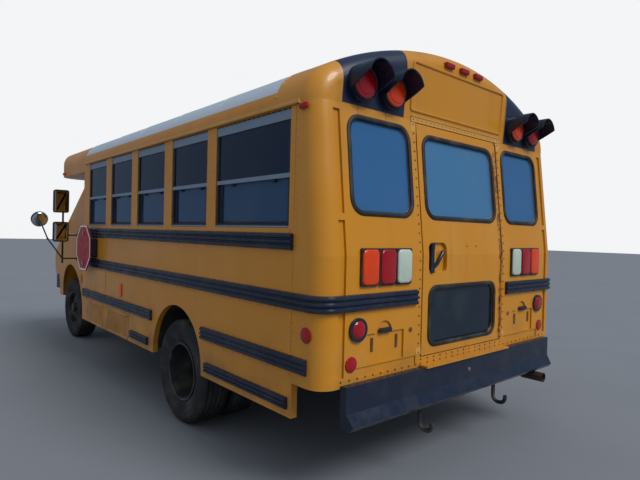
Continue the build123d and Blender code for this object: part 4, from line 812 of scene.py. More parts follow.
def warning_lamps(lenses):
    """Domed lenses with a stepped rim, and rolled edges on their visors."""
    rims = Form()
    for x, y, z, direction, colour in WARNING_LAMPS:
        for side, _ in SIDES:
            at = Vector((x, side * y, z))
            axis = (direction, 0, 0)
            rims.turn(WARNING_RIM, at, axis, 48, cap=False)
            lenses[colour].turn(WARNING_LENS, at, axis, 48)
            path = []
            for k in range(VISOR_STEPS + 1):
                angle = math.radians(8 + 164 * k / VISOR_STEPS)
                reach = 0.150 - 0.125 * (1 - math.sin(angle)) * 0.55
                across, up = VISOR_R * math.cos(angle), VISOR_R * math.sin(angle)
                path.append(at + Vector((direction * reach, across, up)))
            rims.tube(path, 0.0042, 8)
    rims.piece("warning_lamp_rims", "black_paint")


def cap_markers(lenses):
    """Three marker lamps over the rear door and three over the windshield."""
    for y in (-0.160, 0, 0.160):
        x = rear_x(2.457)
        lenses["red_lens"].box((x - 0.020, y - 0.045, 2.440), (x + 0.030, y + 0.045, 2.474), 0.007)
        lenses["amber_lens"].box((st(4.665), y - 0.045, 2.360), (st(4.805), y + 0.045, 2.395), 0.007)


def side_ovals(lenses):
    """Amber marker in the middle of each side."""
    outline = rounded(st(2.663), st(2.723), 0.792, 0.912, 0.020, 5)
    for side, _ in SIDES:
        rows = ((0, 0.0003), (0, 0.006), (0.004, 0.0095), (0.012, 0.010))
        lenses["amber_lens"].cover(outline, rows, on_side(side))


def all_lamps():
    lenses = {"amber_lens": Form(), "red_lens": Form(), "clear_lens": Form()}
    for lamps in (tail_lamps, round_lamps, warning_lamps, cap_markers, side_ovals):
        lamps(lenses)
    lenses["red_lens"].piece("red_lens_set", "red_lens", hides=["red_lenses"])
    lenses["amber_lens"].piece("amber_lens_set", "amber_lens", hides=["amber_lenses"])
    return lenses["clear_lens"]


def plate_fittings():
    """Lamp and clips of each plate recess, and the grommet beside it."""
    lamps, clips = Form(), Form()
    for side, _ in SIDES:
        low, high = span(side, 0.706, 0.806)
        lamps.box((X_REAR - 0.012, low, 0.868), (X_REAR + 0.008, high, 0.896), 0.007)
        for y in (0.851, 0.654):
            low, high = side * y - 0.009, side * y + 0.009
            clips.box((X_REAR + 0.003, low, 0.775), (X_REAR + 0.0105, high, 0.850), 0.003)
        grommet = [(-0.001, 0.014), (0.003, 0.014), (0.005, 0.009)]
        clips.turn(grommet, (X_REAR, side * 0.542, 0.862), BACK, 20)
    lamps.piece("plate_lamps", "black_paint")
    clips.piece("plate_clips", "rusty_steel")


def sign_panel():
    """Raised blank frame over the rear door, and the trim beside the black fields."""
    form = Form()
    half = 0.505
    section = [(0, -0.002), (0.004, 0.006), (0.010, 0.008), (0.016, 0.006), (0.020, -0.002)]
    outline = rounded(-half, half, 2.122, 2.418, 0.022, 4)
    arched = [(y, z + 0.018 * (1 - (y / half) ** 2) if z > 2.3 else z) for y, z in outline]
    form.edging(arched, section, on_rear)
    for side, _ in SIDES:
        form.plate((*span(side, 0.547, 0.553), 2.078, 2.372), (-0.002, 0.002), on_rear)
    form.piece("sign_panel_frame", "yellow_paint")


seals()
rear_rivets()
door_trim()
door_handle()
clear_lenses = all_lamps()
plate_fittings()
sign_panel()


# Wheels
TYRE_R = 0.372
RIM_R = 0.203
# sidewall from the bead to the shoulder as (rise over the rim, distance from the middle plane)
SIDEWALL = ((0.001, 0.078), (0.010, 0.088), (0.020, 0.094), (0.034, 0.0985), (0.038, 0.1015),
            (0.044, 0.1015), (0.048, 0.1030), (0.085, 0.1112), (0.100, 0.1113), (0.118, 0.1095),
            (0.121, 0.1105), (0.127, 0.1098), (0.132, 0.1070), (0.147, 0.1010), (0.160, 0.0930))
GROOVES = (0.071, 0.036, 0.0)
GROOVE_HALF = 0.0042
GROOVE_DEPTH = 0.009
TYRE_STEPS = 180
ZIGZAG = (0.003, 0.001, -0.003, -0.001)
NUT_COUNT = 8
NUT_RING = 0.096
# wheel nut on its stud as (distance along, radius)
NUT = [(-0.002, 0.015625), (0.002, 0.015625), (0.002, 0.0125), (0.016, 0.0125), (0.018, 0.010),
       (0.018, 0.00525), (0.026, 0.00525)]
RIM_EDGE = [(-0.004, -0.012), (0.0, -0.002), (0.004, 0.004), (0.002, 0.009), (-0.004, 0.006)]
WHEELS = (
    # word, X of the axle, mid plane |y| of each tyre, disc plane |y|, tyre node
    ("front", FRONT_AXLE_X, (0.8685,), 0.9265, "tyre_front"),
    ("rear", REAR_AXLE_X, (1.0735, 0.8155), 0.9605, "tyres_rear"),
)


def tread_profile():
    """Half tread from the shoulder to the middle as (radius, distance, zigzag share)."""
    rows = [(0.0060, 0.088, 0), (0.0022, 0.082, 0)]
    for centre in GROOVES:
        crown = 0.002 * (centre / 0.07) ** 2
        edge, floor, deep = GROOVE_HALF + 0.001, GROOVE_HALF * 0.6, crown + GROOVE_DEPTH
        rows += [(crown, centre + edge, 1), (deep, centre + floor, 1)]
        if centre:
            rows += [(deep, centre - floor, 1), (crown, centre - edge, 1)]
    return [(TYRE_R - drop, out, zig) for drop, out, zig in rows]


def add_tyre(form, x, mid, side):
    """Tyre with a stepped sidewall, zigzag grooves and cut shoulders."""
    half = [(RIM_R + rise, out, 0) for rise, out in SIDEWALL] + tread_profile()
    section = half + [(radius, -out, zig) for radius, out, zig in reversed(half)]
    rings = []
    for k in range(TYRE_STEPS):
        angle = 2 * math.pi * k / TYRE_STEPS
        ring = []
        for radius, out, zig in section:
            if k % 6 == 0 and 0.074 < abs(out) < 0.1 and radius > TYRE_R - 0.03:
                radius -= 0.005
            y = mid + side * (out + zig * ZIGZAG[k % 4])
            ring.append(Vector((x + radius * math.cos(angle), y, AXLE_Z + radius * math.sin(angle))))
        rings.append(ring)
    form.loft(rings, loop=True)


def wheels():
    """Tyres, hexagon nuts, and the edge and valve of each rim."""
    for word, x, mids, disc_y, node in WHEELS:
        for side, hand in SIDES:
            body = f"wheel_{word}_{hand}"
            axis = (0, side, 0)
            tyre, nuts, rim = Form(), Form(), Form()
            for mid in mids:
                add_tyre(tyre, x, side * mid, side)
            tyre.piece(f"{node}_{hand}_tread", "tyre_rubber", body, hides=[f"{node}_{hand}"])
            for k in range(NUT_COUNT):
                angle = 2 * math.pi * (k + 0.5) / NUT_COUNT
                at = (x + NUT_RING * math.cos(angle), side * disc_y, AXLE_Z + NUT_RING * math.sin(angle))
                nuts.turn(NUT, at, axis, 6)
            nuts.piece(f"wheel_nuts_{word}_{hand}", "cast_metal", body)
            y = side * (mids[0] + 0.094)
            rim.turn([(out, RIM_R + rise) for out, rise in RIM_EDGE], (x, y, AXLE_Z), axis, 64, cap=False)
            valve = [(x + 0.160, y - side * 0.040, AXLE_Z), (x + 0.158, y - side * 0.015, AXLE_Z)]
            rim.tube(valve, 0.0045, 8)
            rim.piece(f"rim_edge_{word}_{hand}", "wheel_paint", body)


wheels()


# Sides
WINDOWS = ((0.273, 1.046), (1.163, 1.693), (1.826, 2.357), (2.486, 2.996), (3.136, 3.652))
WINDOW_Z = (1.420, 2.050)
FRAME_WIDTH = 0.022
SASH_HALF = 0.012
VENTS = ((2.500, 3.065), (3.167, 3.568))
VENT_Z = (0.445, 0.660)
VENT_PITCH = 0.0158
VENT_HOLE = 0.0052
VENT_OUT = 0.0028
ENTRY_X = 3.840
SEAM_X = (1.104, 1.760, 2.421, 3.066)


def clear_of_entry(side, low, high):
    """On the right the span stops where the entrance starts."""
    return (low, min(high, ENTRY_X)) if side < 0 else (low, high)


def drip_rail(side, word):
    """Gutter over the windows, in paler paint that is a painted highlight along it."""
    form = Form()
    section = ((2.056, 0.0005), (2.054, 0.014), (2.059, 0.018), (2.074, 0.019), (2.076, 0.015),
               (2.062, 0.012), (2.064, 0.0005))
    ends = (0.190, 3.770 if side > 0 else 4.590)
    form.loft([[on_side(side)(st(x), z, out) for z, out in section] for x in ends])
    form.piece(f"drip_rail_{word}", "trim_paint")


def window_ring(form, bounds, width, low, high, place):
    """Flat frame of one width round an opening."""
    section = [(0, low), (0, high - 0.002), (0.002, high), (width - 0.002, high), (width, high - 0.002),
               (width, low)]
    form.edging(rounded(*bounds, 0.004, 1), section, place)


def side_windows():
    """Dark window frames with a pale head, a dropped sash behind a pale bar, and their panes."""
    frames, pale, panes = Form(), Form(), Form()
    z0, z1 = WINDOW_Z
    z_in, z_low, z_high = z0 + FRAME_WIDTH, SASH_Z - SASH_HALF, SASH_Z + SASH_HALF
    for side, _ in SIDES:
        place = on_side(side)
        for low, high in WINDOWS:
            a0, a1 = st(low) + 0.0005, st(high) - 0.0005
            inner = (a0 + FRAME_WIDTH, a1 - FRAME_WIDTH)
            window_ring(frames, (a0, a1, z0 + 0.0005, z1 - 0.0005), FRAME_WIDTH, -0.034, -0.006, place)
            window_ring(frames, (*inner, z_in, z_high), 0.014, -0.034, -0.026, place)
            frames.plate((inner[1] - 0.030, inner[1], z_in, z_low), (-0.030, -0.020), place)
            pale.plate((a0 + 0.001, a1 - 0.001, z1 - 0.060, z1 - 0.008), (-0.020, -0.0045), place)
            pale.plate((a0 + 0.006, a1 - 0.006, z_low, z_high), (-0.030, -0.0045), place, 0.003)
            pale.plate((a0 + 0.003, a1 - 0.003, z0 + 0.002, z0 + 0.011), (-0.010, -0.0025), place)
            for catch in (0.22, 0.78):
                a = a0 + (a1 - a0) * catch
                bounds = (a - 0.020, a + 0.020, SASH_Z - 0.026, z_low)
                frames.plate(bounds, (-0.030, -0.012), place, 0.004, 2)
            upper = (a0 + 0.018, a1 - 0.018, SASH_Z - 0.006, z1 - 0.018)
            panes.plate(upper, (-0.019, -0.014), place, 0.004, 2)
            lower = (a0 + 0.030, a1 - 0.030, z0 + 0.030, SASH_Z + 0.004)
            panes.plate(lower, (-0.032, -0.0275), place, 0.004, 2)
    frames.piece("side_window_frames", "frame_dark", hides=["window_frames"])
    pale.piece("side_window_bars", "sash_metal")
    panes.piece("side_window_panes", "side_glass", hides=["fixed_glass"])


def fixed_panes():
    """Rear corner panes and the windshield."""
    tail, screen = Form(), Form()
    y0, y1, z0, z1, radius = TAIL_GLASS
    for side, _ in SIDES:
        bounds = (*span(side, y0 - 0.004, y1 + 0.004), z0 - 0.004, z1 + 0.004)
        tail.plate(bounds, (-0.018, -0.012), on_rear, radius, 6)
    tail.piece("tail_panes", "tail_glass", hides=["fixed_glass"])
    screen.plate((-0.789, 0.789, 1.338, 1.880), (-0.016, -0.010), on_screen, 0.003)
    screen.piece("windshield_pane", "clear_glass", hides=["fixed_glass"])


def side_rivets(side, word):
    """Rivets along the rails, the seams and between the windows."""
    form = Form()
    place = on_side(side)
    low, high = clear_of_entry(side, 0.26, 3.78)
    for z in (1.400, 0.985, 0.775, 0.670):
        for a, b in ((0.26, 1.15), (2.03, high)) if z < 0.9 else ((low, high),):
            rivet_row(form, (st(a), z), (st(b), z), 0.060, place)
    rivet_row(form, (st(0.218), 0.66), (st(0.218), 2.02), 0.045, place)
    rivet_row(form, (st(0.20), 2.045), (st(3.78 if side > 0 else 4.58), 2.045), 0.050, place, 0.0045)
    for x in SEAM_X:
        for off in (-0.022, 0.022):
            rivet_row(form, (st(x + off), 1.43), (st(x + off), 2.03), 0.085, place, 0.005)
    form.piece(f"side_rivets_{word}", "yellow_paint")


def panel_seams(side, word):
    """Lapped sheet edges of the side skin."""
    form = Form()
    place = on_side(side)
    for x, z in ((0.232, 0.66), (3.105, 0.56)):
        form.plate((st(x), st(x) + 0.030, z, 1.298), (-0.001, 0.0018), place)
    low, high = clear_of_entry(side, 0.26, 3.79)
    form.plate((st(low), st(high), 1.394, 1.414), (-0.001, 0.0025), place)
    form.plate((st(0.23), st(0.245), 1.42, 2.05), (-0.001, 0.0018), place)
    form.piece(f"panel_seams_{word}", "yellow_paint")


def vent_cell(form, a, b, place):
    """Square of sheet with a round hole."""
    rings = ([], [], [])
    for k in range(8):
        angle = math.pi / 4 + 2 * math.pi * k / 8
        across, up = math.cos(angle), math.sin(angle)
        reach = VENT_PITCH / 2 / max(abs(across), abs(up))
        for ring, radius, out in zip(rings, (reach, VENT_HOLE, VENT_HOLE), (VENT_OUT, VENT_OUT, 0.0010)):
            ring.append(place(a + radius * across, b + radius * up, out))
    form.loft(rings, cap=False)


def vents():
    """Perforated skirt panels on the left side, with a dark sheet behind the round holes as painted shade of
    the space behind them.
    """
    place = on_side(1)
    panel, dark = Form(), Form()
    z0, z1 = VENT_Z
    for low, high in VENTS:
        x0, x1 = st(low), st(high)
        # dark sheet on the wall behind the holes: painted shade of the space behind the panel
        dark.plate((x0 + 0.006, x1 - 0.006, z0 + 0.006, z1 - 0.006), (0.0003, 0.0009), place, 0.003)
        across, up = int((high - low - 0.03) / VENT_PITCH), int((z1 - z0 - 0.03) / VENT_PITCH)
        x_edge = ((high - low) - across * VENT_PITCH) / 2
        z_edge = ((z1 - z0) - up * VENT_PITCH) / 2
        for i in range(across):
            for j in range(up):
                a, b = x0 + x_edge + (i + 0.5) * VENT_PITCH, z0 + z_edge + (j + 0.5) * VENT_PITCH
                vent_cell(panel, a, b, place)
        section = [(0, 0.0002), (0, VENT_OUT), (x_edge, VENT_OUT), (x_edge, 0.0010)]
        panel.edging(rounded(x0, x1, z0, z1, 0.006, 2), section, place)
        panel.screws(itertools.product((x0 + 0.010, x1 - 0.010), (z0 + 0.012, z1 - 0.012)), place, 0.0025)
    panel.piece("skirt_vent_panels", "yellow_paint")
    dark.piece("skirt_vent_painted_shade", "seal_rubber")


SIGN_X = st(3.560)
SIGN_Z = 1.195
SIGN_R = 0.450 / 2 / math.cos(math.pi / 8)
SIGN_Y = HALF + 0.078
SIGN_THICK = 0.010


def stop_sign():
    """Pale border on both faces of the blank octagon, two lamps and four bolts."""
    turns = [math.radians(22.5 + 45 * k) for k in range(8)]
    corners = [(SIGN_X + SIGN_R * math.cos(t), SIGN_Z + SIGN_R * math.sin(t)) for t in turns]
    for word, outline, face, plane, proud in (("", corners, 1, SIGN_Y, 0.0012),
                                              ("_back", corners[::-1], -1, SIGN_Y - SIGN_THICK, 0.0010)):
        border = Form()
        section = [(0.004, -0.0005), (0.004, proud), (0.016, proud), (0.016, -0.0005)]
        section = [(face * inset, out) for inset, out in section]
        border.edging(outline, section, lambda a, b, out: Vector((a, plane + face * out, b)))
        border.piece(f"stop_sign_border{word}", "sign_white", "stop_arm")
    lamps, bolts = Form(), Form()
    for dz in (-0.155, 0.155):
        at = (SIGN_X, SIGN_Y, SIGN_Z + dz)
        lamps.turn([(-0.001, 0.038), (0.004, 0.038), (0.0065, 0.032), (0.0068, 0.004)], at, LEFT)
    for dx, dz in itertools.product((-0.075, 0.075), (0.07, -0.07)):
        bolts.dome((SIGN_X + dx, SIGN_Y, SIGN_Z + dz), LEFT, 0.008, 0.005, 10)
    lamps.piece("stop_sign_lamps", "red_lens", "stop_arm")
    bolts.piece("stop_sign_bolts", "cast_metal", "stop_arm")


def access_panel():
    """Access panel with four screws, aft of the stop arm's base."""
    form = Form()
    place = on_side(1)
    form.plate((st(3.200), st(3.350), 1.110, 1.290), (-0.001, 0.003), place, 0.010, 3)
    form.screws(itertools.product((st(3.212), st(3.338)), (1.122, 1.278)), place, 0.003)
    form.piece("stop_arm_access_panel", "yellow_paint")


BOW_X = (0.420, *SEAM_X, 3.830)
BOW_WIDTH = 0.024
BOW_OUT = 0.0025
BOW_STEPS = 60


def roof_bows():
    """Raised bows across the roof at its sheet joints."""
    form = Form()
    meet = ROOF_R * (HALF - SHOULDER_R) / (ROOF_R - SHOULDER_R)
    section = ((0, -0.001), (0.002, BOW_OUT), (BOW_WIDTH - 0.002, BOW_OUT), (BOW_WIDTH, -0.001))
    for x in BOW_X:
        rings = []
        for k in range(BOW_STEPS + 1):
            y = (-1 + 2 * k / BOW_STEPS) * (HALF - 0.006)
            if abs(y) <= meet:
                centre = Vector((0, 0, ROOF_CENTRE_Z))
                z = ROOF_CENTRE_Z + math.sqrt(ROOF_R ** 2 - y ** 2)
            else:
                centre = Vector((0, math.copysign(HALF - SHOULDER_R, y), EAVE_Z))
                z = EAVE_Z + math.sqrt(max(SHOULDER_R ** 2 - (y - centre.y) ** 2, 0))
            normal = (Vector((0, y, z)) - centre).normalized()
            at = Vector((st(x) - BOW_WIDTH / 2, y, z))
            rings.append([at + normal * out + Vector((along, 0, 0)) for along, out in section])
        form.loft(rings)
    form.piece("roof_bows", "roof_paint")


for side, word in SIDES:
    drip_rail(side, word)
    side_rivets(side, word)
    panel_seams(side, word)
vents()
stop_sign()
access_panel()
roof_bows()


# Cab and front
NOSE_FACE_X = 2.9325
BUMPER_FACE_X = 3.0170
SCREEN_FOOT = (st(5.490), 1.340)
SCREEN_TOP = (st(4.975), 1.975)
SCREEN_NORMAL = Vector((SCREEN_TOP[1] - SCREEN_FOOT[1], 0, SCREEN_FOOT[0] - SCREEN_TOP[0])).normalized()
# height and |y| of the cab's side
CAB_SIDE = ((0.480, 0.980), (0.900, 1.005), (1.340, 1.000), (1.930, 0.875))
SCREEN_SEAL = [(0, -0.012), (0, 0.003), (0.006, 0.005), (0.030, 0.002), (0.036, -0.008), (0.036, -0.012)]
DOOR_SEAL = [(0, -0.020), (0, 0.001), (0.004, 0.003), (0.014, 0.001), (0.016, -0.020)]
ENTRY_SEAL = [(0, -0.012), (0, 0.001), (0.003, 0.003), (0.009, 0.002), (0.011, -0.012)]


def on_screen(y, z, out):
    """Place on the windshield's slope at a height, and out along its normal."""
    share = (z - SCREEN_FOOT[1]) / (SCREEN_TOP[1] - SCREEN_FOOT[1])
    x = SCREEN_FOOT[0] + (SCREEN_TOP[0] - SCREEN_FOOT[0]) * share
    return Vector((x, y, z)) + SCREEN_NORMAL * out


def on_cab(side):
    """Places (x, z, out) on the side of the cab."""
    zs, ys = zip(*CAB_SIDE)
    return lambda x, z, out: Vector((x, side * (float(np.interp(z, zs, ys)) + out), z))


def windshield_trim():
    """Rubber round the windshield, and the parked wipers."""
    form, wipers = Form(), Form()
    form.edging(rounded(-0.790, 0.790, 1.337, 1.881, 0.014, 3), SCREEN_SEAL, on_screen)
    form.piece("windshield_seal", "seal_rubber")
    arm_path = ((0, 1.352, 0.014), (-0.06, 1.362, 0.020), (-0.36, 1.398, 0.018))
    blade_path = ((-0.09, 1.388, 0.007), (-0.35, 1.400, 0.008), (-0.60, 1.404, 0.007))
    for pivot in (0.640, 0.030):
        boss = [(-0.004, 0.014), (0.014, 0.013), (0.018, 0.008)]
        wipers.turn(boss, on_screen(pivot, 1.352, 0.0), SCREEN_NORMAL, 16)
        arm = [on_screen(pivot + y, z, out) for y, z, out in arm_path]
        blade = [on_screen(pivot + y, z, out) for y, z, out in blade_path]
        wipers.tube(arm, 0.005, 8)
        wipers.tube(blade, 0.0045, 8)
        wipers.tube([p + SCREEN_NORMAL * 0.006 for p in blade], 0.003, 6)
    wipers.piece("windshield_wipers", "black_paint")


def door_details():
    """Window rubber, belt strip, pull and lock of the driver door."""
    place = on_cab(1)
    seal, pull, lock = Form(), Form(), Form()
    seal.edging(rounded(st(4.040), st(4.600), 1.380, 1.830, 0.016, 3), DOOR_SEAL, place)
    seal.plate((st(3.965), st(4.640), 1.358, 1.370), (-0.001, 0.004), place, 0.004, 2)
    seal.piece("driver_door_seal", "seal_rubber", "driver_door")
    dish = [(0, -0.001), (0.002, 0.004), (0.008, 0.003), (0.012, -0.001)]
    pull.edging(rounded(st(4.010), st(4.160), 1.110, 1.175, 0.014, 4), dish, place)
    low, high = place(st(4.022), 1.148, 0.002), place(st(4.148), 1.166, 0.017)
    pull.box(low, high, 0.005)
    pull.piece("driver_door_pull", "black_paint", "driver_door")
    lock.turn([(-0.001, 0.010), (0.003, 0.010), (0.004, 0.007)], place(st(4.000), 1.140, 0), LEFT, 16)
    lock.piece("driver_door_lock", "bright_metal", "driver_door")


def arch_lips():
    """Rolled edge of the front wheel openings."""
    form = Form()
    radius, centre_z, steps = 0.421, 0.505, 32
    turns = [math.pi * k / steps for k in range(steps + 1)]
    for side, _ in SIDES:
        place = on_cab(side)
        rim = [(FRONT_AXLE_X + radius * math.cos(t), centre_z + radius * math.sin(t)) for t in turns]
        form.tube([place(x, z, -0.003) for x, z in rim], 0.005, 8)
    form.piece("front_arch_lips", "yellow_paint")


HEADLAMP_Z = (0.788, 0.972)
HEADLAMP_FLUTES = 13
REFLECTOR_RING = [(-0.001, 0.079), (0.003, 0.078), (0.0035, 0.072), (0.0010, 0.066), (0.0010, 0.020),
                  (0.0035, 0.017), (0.0035, 0.002)]


def headlamps(clear):
    """Fluted headlamp covers with the reflector's ring, set in black bezels."""
    bezels = Form()
    face = NOSE_FACE_X + 0.010
    z0, z1 = HEADLAMP_Z
    steps = 4 * HEADLAMP_FLUTES
    for side, _ in SIDES:
        y0, y1 = span(side, 0.483, 0.737)
        rings = []
        for k in range(steps + 1):
            y = y0 + (y1 - y0) * k / steps
            flute = 0.0016 * abs(math.sin(math.pi * k / 4))
            x = face - (0.010, 0.004, 0.001, 0)[min(k, steps - k, 3)] + flute
            half = [(NOSE_FACE_X - 0.030, 0), (x - 0.010, 0), (x - 0.003, 0.004), (x, 0.012)]
            ring = [Vector((p, y, z0 + rise)) for p, rise in half]
            rings.append(ring + [Vector((p, y, z1 - rise)) for p, rise in reversed(half)])
        clear.loft(rings)
        clear.turn(REFLECTOR_RING, (face, side * 0.620, 0.880), AHEAD, 40)
        section = [(-0.004, -0.001), (-0.002, 0.004), (0.003, 0.004), (0.003, -0.001)]
        bounds = (y0 - 0.003, y1 + 0.003, z0 - 0.003, z1 + 0.003)
        bezels.edging(rounded(*bounds, 0.006, 2), section, facing(face, 1))
    bezels.piece("headlamp_bezels", "grille_plastic")
    clear.piece("clear_lens_set", "clear_lens", hides=["clear_lenses"])


def grille_details():
    """Dark screen behind the bars, and the rounded front edge of each bar."""
    screen, bars = Form(), Form()
    screen.box((NOSE_FACE_X - 0.054, -0.442, 0.779), (NOSE_FACE_X - 0.050, 0.442, 0.981), 0.001)
    screen.piece("grille_screen", "seal_rubber")
    for k in range(7):
        bars.tube([(NOSE_FACE_X + 0.008, y, 0.774 + k * 0.2 / 6) for y in (-0.438, 0.438)], 0.0050)
    bars.piece("grille_bar_fronts", "grille_plastic")


def bumper_bolts():
    """Bolt heads on both bumpers."""
    form = Form()
    for side, _ in SIDES:
        for z in (0.610, 0.690):
            form.dome((BUMPER_FACE_X, side * 0.380, z), AHEAD, 0.012, 0.006, 12)
    form.dome((X_REAR - 0.045, 0, 0.560), BACK, 0.013, 0.006, 12)
    form.piece("bumper_bolts", "bright_metal")


MIRROR_Y = (1.115, 1.285)
MIRROR_GLASS = (
    # low and high z, bulge of the glass
    (1.570, 1.845, 0.0012),
    (1.220, 1.460, 0.004),
)
CROSSVIEW_AXIS = Vector((-math.sin(math.radians(75)), 0, -math.cos(math.radians(75))))
CROSSVIEW_RIM = [(0.008, 0.1045), (0.0125, 0.1045), (0.0155, 0.101), (0.0125, 0.097)]
CROSSVIEW_GLASS = [(0.0115, 0.098)]
CROSSVIEW_GLASS += [(0.0125 + 0.020 * math.sin(math.radians(15 * k)), 0.097 * math.cos(math.radians(15 * k)))
                    for k in range(6)]
CROSSVIEW_GLASS += [(0.0325, 0.003)]


def mirror_faces():
    """Glass and rims on the heads of the outside mirrors, and the feet of their arms."""
    glass, rims = Form(), Form()
    place = facing(st(4.805))
    for side, _ in SIDES:
        y0, y1 = span(side, *MIRROR_Y)
        for low, high, bulge in MIRROR_GLASS:
            outline = rounded(y0 + 0.004, y1 - 0.004, low + 0.004, high - 0.004, 0.022, 5)
            rims.edging(outline, [(0, -0.002), (0.001, 0.004), (0.007, 0.004), (0.008, 0.0004)], place)
            rows = ((0.006, 0.0003), (0.008, 0.0012), (0.020, 0.0012 + 0.6 * bulge), (0.040, 0.0012 + bulge))
            glass.cover(outline, rows, place)
        at = Vector((st(5.930), side * 1.200, 1.500))
        rims.turn(CROSSVIEW_RIM, at, CROSSVIEW_AXIS, 40, cap=False)
        glass.turn(CROSSVIEW_GLASS, at, CROSSVIEW_AXIS, 40)
        for z in (1.015, 1.300):
            foot = [(-0.001, 0.026), (0.006, 0.026), (0.009, 0.020), (0.009, 0.010)]
            rims.turn(foot, on_cab(side)(st(4.850), z, 0.0), (0, side, 0), 20)
    glass.piece("mirror_glass_faces", "mirror_glass")
    rims.piece("mirror_rims", "mirror_plastic")


ENTRY_LEAVES = (
    # word, low and high station, station of the meeting edge, way from it into the leaf
    ("rear", 3.896, 4.1945, 4.1945, -1),
    ("front", 4.2055, 4.504, 4.2055, 1),
)


def entry_trim():
    """Window rubbers and edge strips of the entrance leaves."""
    place = on_side(-1)
    for word, low, high, meeting, way in ENTRY_LEAVES:
        form = Form()
        for z0, z1 in ((0.470, 1.060), (1.150, 1.870)):
            form.edging(rounded(st(low + 0.045), st(high - 0.045), z0, z1, 0.014, 3), ENTRY_SEAL, place)
        strip = sorted((st(meeting), st(meeting + way * 0.024)))
        form.plate((*strip, 0.360, 1.935), (-0.001, 0.003), place, 0.004, 2)
        form.piece(f"entry_rubber_{word}", "seal_rubber", f"entry_{word}")


side_windows()
fixed_panes()
windshield_trim()
door_details()
arch_lips()
headlamps(clear_lenses)
grille_details()
bumper_bolts()
mirror_faces()
entry_trim()


# Seats
FLOOR = 0.720
CAB_FLOOR = 0.700
SEAT_ROWS = 5
SEAT_START = 0.420
SEAT_PITCH = 0.690
WELT_R = 0.0032
PAD_STEPS = 44
WELT_AT = 5


def smooth_profile(points, radius, steps=5):
    """Closed (x, z) outline with round corners."""
    outline = []
    count = len(points)
    for i, point in enumerate(points):
        before, at, after = Vector(points[i - 1]), Vector(point), Vector(points[(i + 1) % count])
        reach = min(radius, (before - at).length * 0.45, (after - at).length * 0.45)
        start, end = at + (before - at).normalized() * reach, at + (after - at).normalized() * reach
        for k in range(steps + 1):
            t = k / steps
            outline.append(tuple(start * (1 - t) ** 2 + at * (2 * t * (1 - t)) + end * t ** 2))
    return outline


def dense(outline, step=0.030):
    """Outline with extra points on its long sides."""
    result = []
    for i, point in enumerate(outline):
        a, b = Vector(point), Vector(outline[(i + 1) % len(outline)])
        pieces = max(1, round((b - a).length / step))
        result += [tuple(a.lerp(b, k / pieces)) for k in range(pieces)]
    return result


def pad(name, node, origin, points, ys, corner, crown, welts, end=0.045, channels=0):
    """Upholstered form with crowned faces, rounded ends and sides that pull in, and its two welts."""
    outline = dense(smooth_profile([(origin[0] + x, origin[1] + z) for x, z in points], corner))
    centre = sum((Vector(p) for p in outline), Vector((0, 0))) / len(outline)
    spread = max((Vector(p) - centre).length for p in outline)
    form = Form()
    rings = []
    y0, y1 = ys
    for k in range(PAD_STEPS + 1):
        share = 0.5 - 0.5 * math.cos(math.pi * k / PAD_STEPS)
        y = y0 + (y1 - y0) * share
        ease = min(1.0, min(y - y0, y1 - y) / end)
        inset = 0.002 + 0.026 * (1 - math.sqrt(max(0, 1 - (1 - ease) ** 2)))
        sink = crown * (2 * share - 1) ** 2
        if channels:
            sink += 0.004 * max(0, math.cos(2 * math.pi * channels * share)) ** 6
        ring = []
        for p in outline:
            to = Vector(p) - centre
            middle = 1 - min(1, (to.length / spread) ** 3)
            q = centre + to * (1 - inset / to.length - sink * (0.35 + 0.65 * middle) / to.length)
            ring.append(Vector((q.x, y, q.y)))
        rings.append(ring)
    form.loft(rings)
    obj = form.piece(name, "seat_vinyl", hides=[node], angle=60)
    for ring in (rings[WELT_AT], rings[PAD_STEPS - WELT_AT]):
        middle = sum(ring, Vector()) / len(ring)
        welts.welt([p + (p - middle).normalized() * 0.0012 for p in ring], WELT_R)


BENCH_CUSHION = ((0.003, 0.303), (0.397, 0.303), (0.397, 0.427), (0.070, 0.427))
BENCH_BACK = ((-0.004, 0.332), (0.088, 0.332), (0.008, 0.980), (-0.055, 0.998), (-0.088, 0.962))
DRIVER_CUSHION = ((0.003, 0.283), (0.447, 0.283), (0.447, 0.392), (0.060, 0.398))
DRIVER_BACK = ((-0.018, 0.303), (0.106, 0.303), (0.008, 0.996), (-0.086, 0.996))


def passenger_seats():
    """Ten high-backed benches: cushion, back and welts, on tube legs."""
    welts, legs = Form(), Form()
    for row in range(SEAT_ROWS):
        x = st(SEAT_START + SEAT_PITCH * row)
        for side, word in SIDES:
            y0, y1 = span(side, 1.175, 0.215)
            for part, points, corner, crown in (("cushion", BENCH_CUSHION, 0.045, 0.010),
                                                ("back", BENCH_BACK, 0.030, 0.012)):
                name = f"bench_{part}_{word}_{row + 1}"
                pad(name, "passenger_seats", (x, FLOOR), points, (y0, y1), corner, crown, welts)
            legs.box((x + 0.020, y0 + 0.02, FLOOR + 0.285), (x + 0.380, y1 - 0.02, FLOOR + 0.306), 0.005)
            leg_y = side * 0.335
            for foot in (x + 0.080, x + 0.320):
                legs.tube([(foot, leg_y, FLOOR + 0.012), (foot, leg_y, FLOOR + 0.290)], 0.015, 12)
            legs.box((x + 0.060, leg_y - 0.025, FLOOR), (x + 0.340, leg_y + 0.025, FLOOR + 0.014), 0.004)
    welts.piece("bench_welts", "seat_vinyl", angle=60)
    legs.piece("bench_legs", "chassis_black", hides=["passenger_seats"])


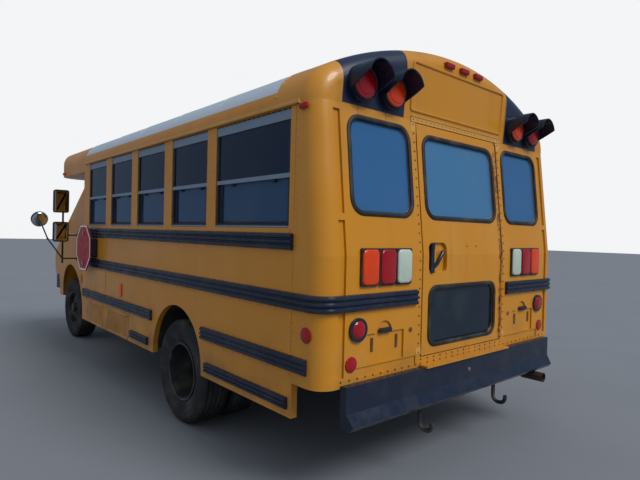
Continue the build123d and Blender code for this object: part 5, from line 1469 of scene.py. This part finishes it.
def driver_seat():
    """Driver seat with sewn channels and welts, on a bellows pedestal."""
    x, y = st(4.080), 0.480
    welts, base = Form(), Form()
    for part, points, half, corner, crown, end in (
            ("cushion", DRIVER_CUSHION, 0.238, 0.050, 0.012, 0.060),
            ("back", DRIVER_BACK, 0.228, 0.040, 0.014, 0.070)):
        ys = (y - half, y + half)
        pad(f"driver_{part}", "driver_seat", (x, CAB_FLOOR), points, ys, corner, crown, welts, end, 3)
    welts.piece("driver_seat_welts", "seat_vinyl", angle=60)
    base.box((x + 0.030, y - 0.185, CAB_FLOOR + 0.235), (x + 0.410, y + 0.185, CAB_FLOOR + 0.284), 0.006)
    for k in range(5):
        z = CAB_FLOOR + 0.020 + 0.043 * k
        base.box((x + 0.065, y - 0.185, z), (x + 0.395, y + 0.185, z + 0.041), 0.014)
    base.box((x + 0.060, y - 0.190, CAB_FLOOR), (x + 0.400, y + 0.190, CAB_FLOOR + 0.022), 0.004)
    base.piece("driver_seat_base", "chassis_black", hides=["driver_seat"])


DASH_X = 2.1975


def on_dash(y, z, out):
    """Place on the dashboard's leaning rear face."""
    return Vector((DASH_X - 0.204 - out + (z - 1.10) * 0.154, y, z))


def dash_details():
    """Cluster hood, vents, and the heater panel with its knobs."""
    form, knobs = Form(), Form()
    form.box((DASH_X - 0.155, 0.270, 1.236), (DASH_X - 0.010, 0.690, 1.300), 0.018)
    for y in (-0.780, -0.200, 0.200, 0.780):
        section = [(0, -0.004), (0, 0.006), (0.008, 0.006), (0.010, -0.002)]
        form.edging(rounded(y - 0.060, y + 0.060, 1.128, 1.188, 0.010, 3), section, on_dash)
    form.box((DASH_X - 0.222, -0.140, 1.010), (DASH_X - 0.120, 0.140, 1.205), 0.010)
    form.piece("dash_mouldings", "dash_plastic")
    for z in (1.050, 1.165):
        for y in (-0.090, 0, 0.090):
            knobs.turn([(0, 0.017), (0.012, 0.015), (0.014, 0.010)], (DASH_X - 0.222, y, z), BACK, 20)
    knobs.piece("dash_knobs", "seal_rubber")


passenger_seats()
driver_seat()
dash_details()
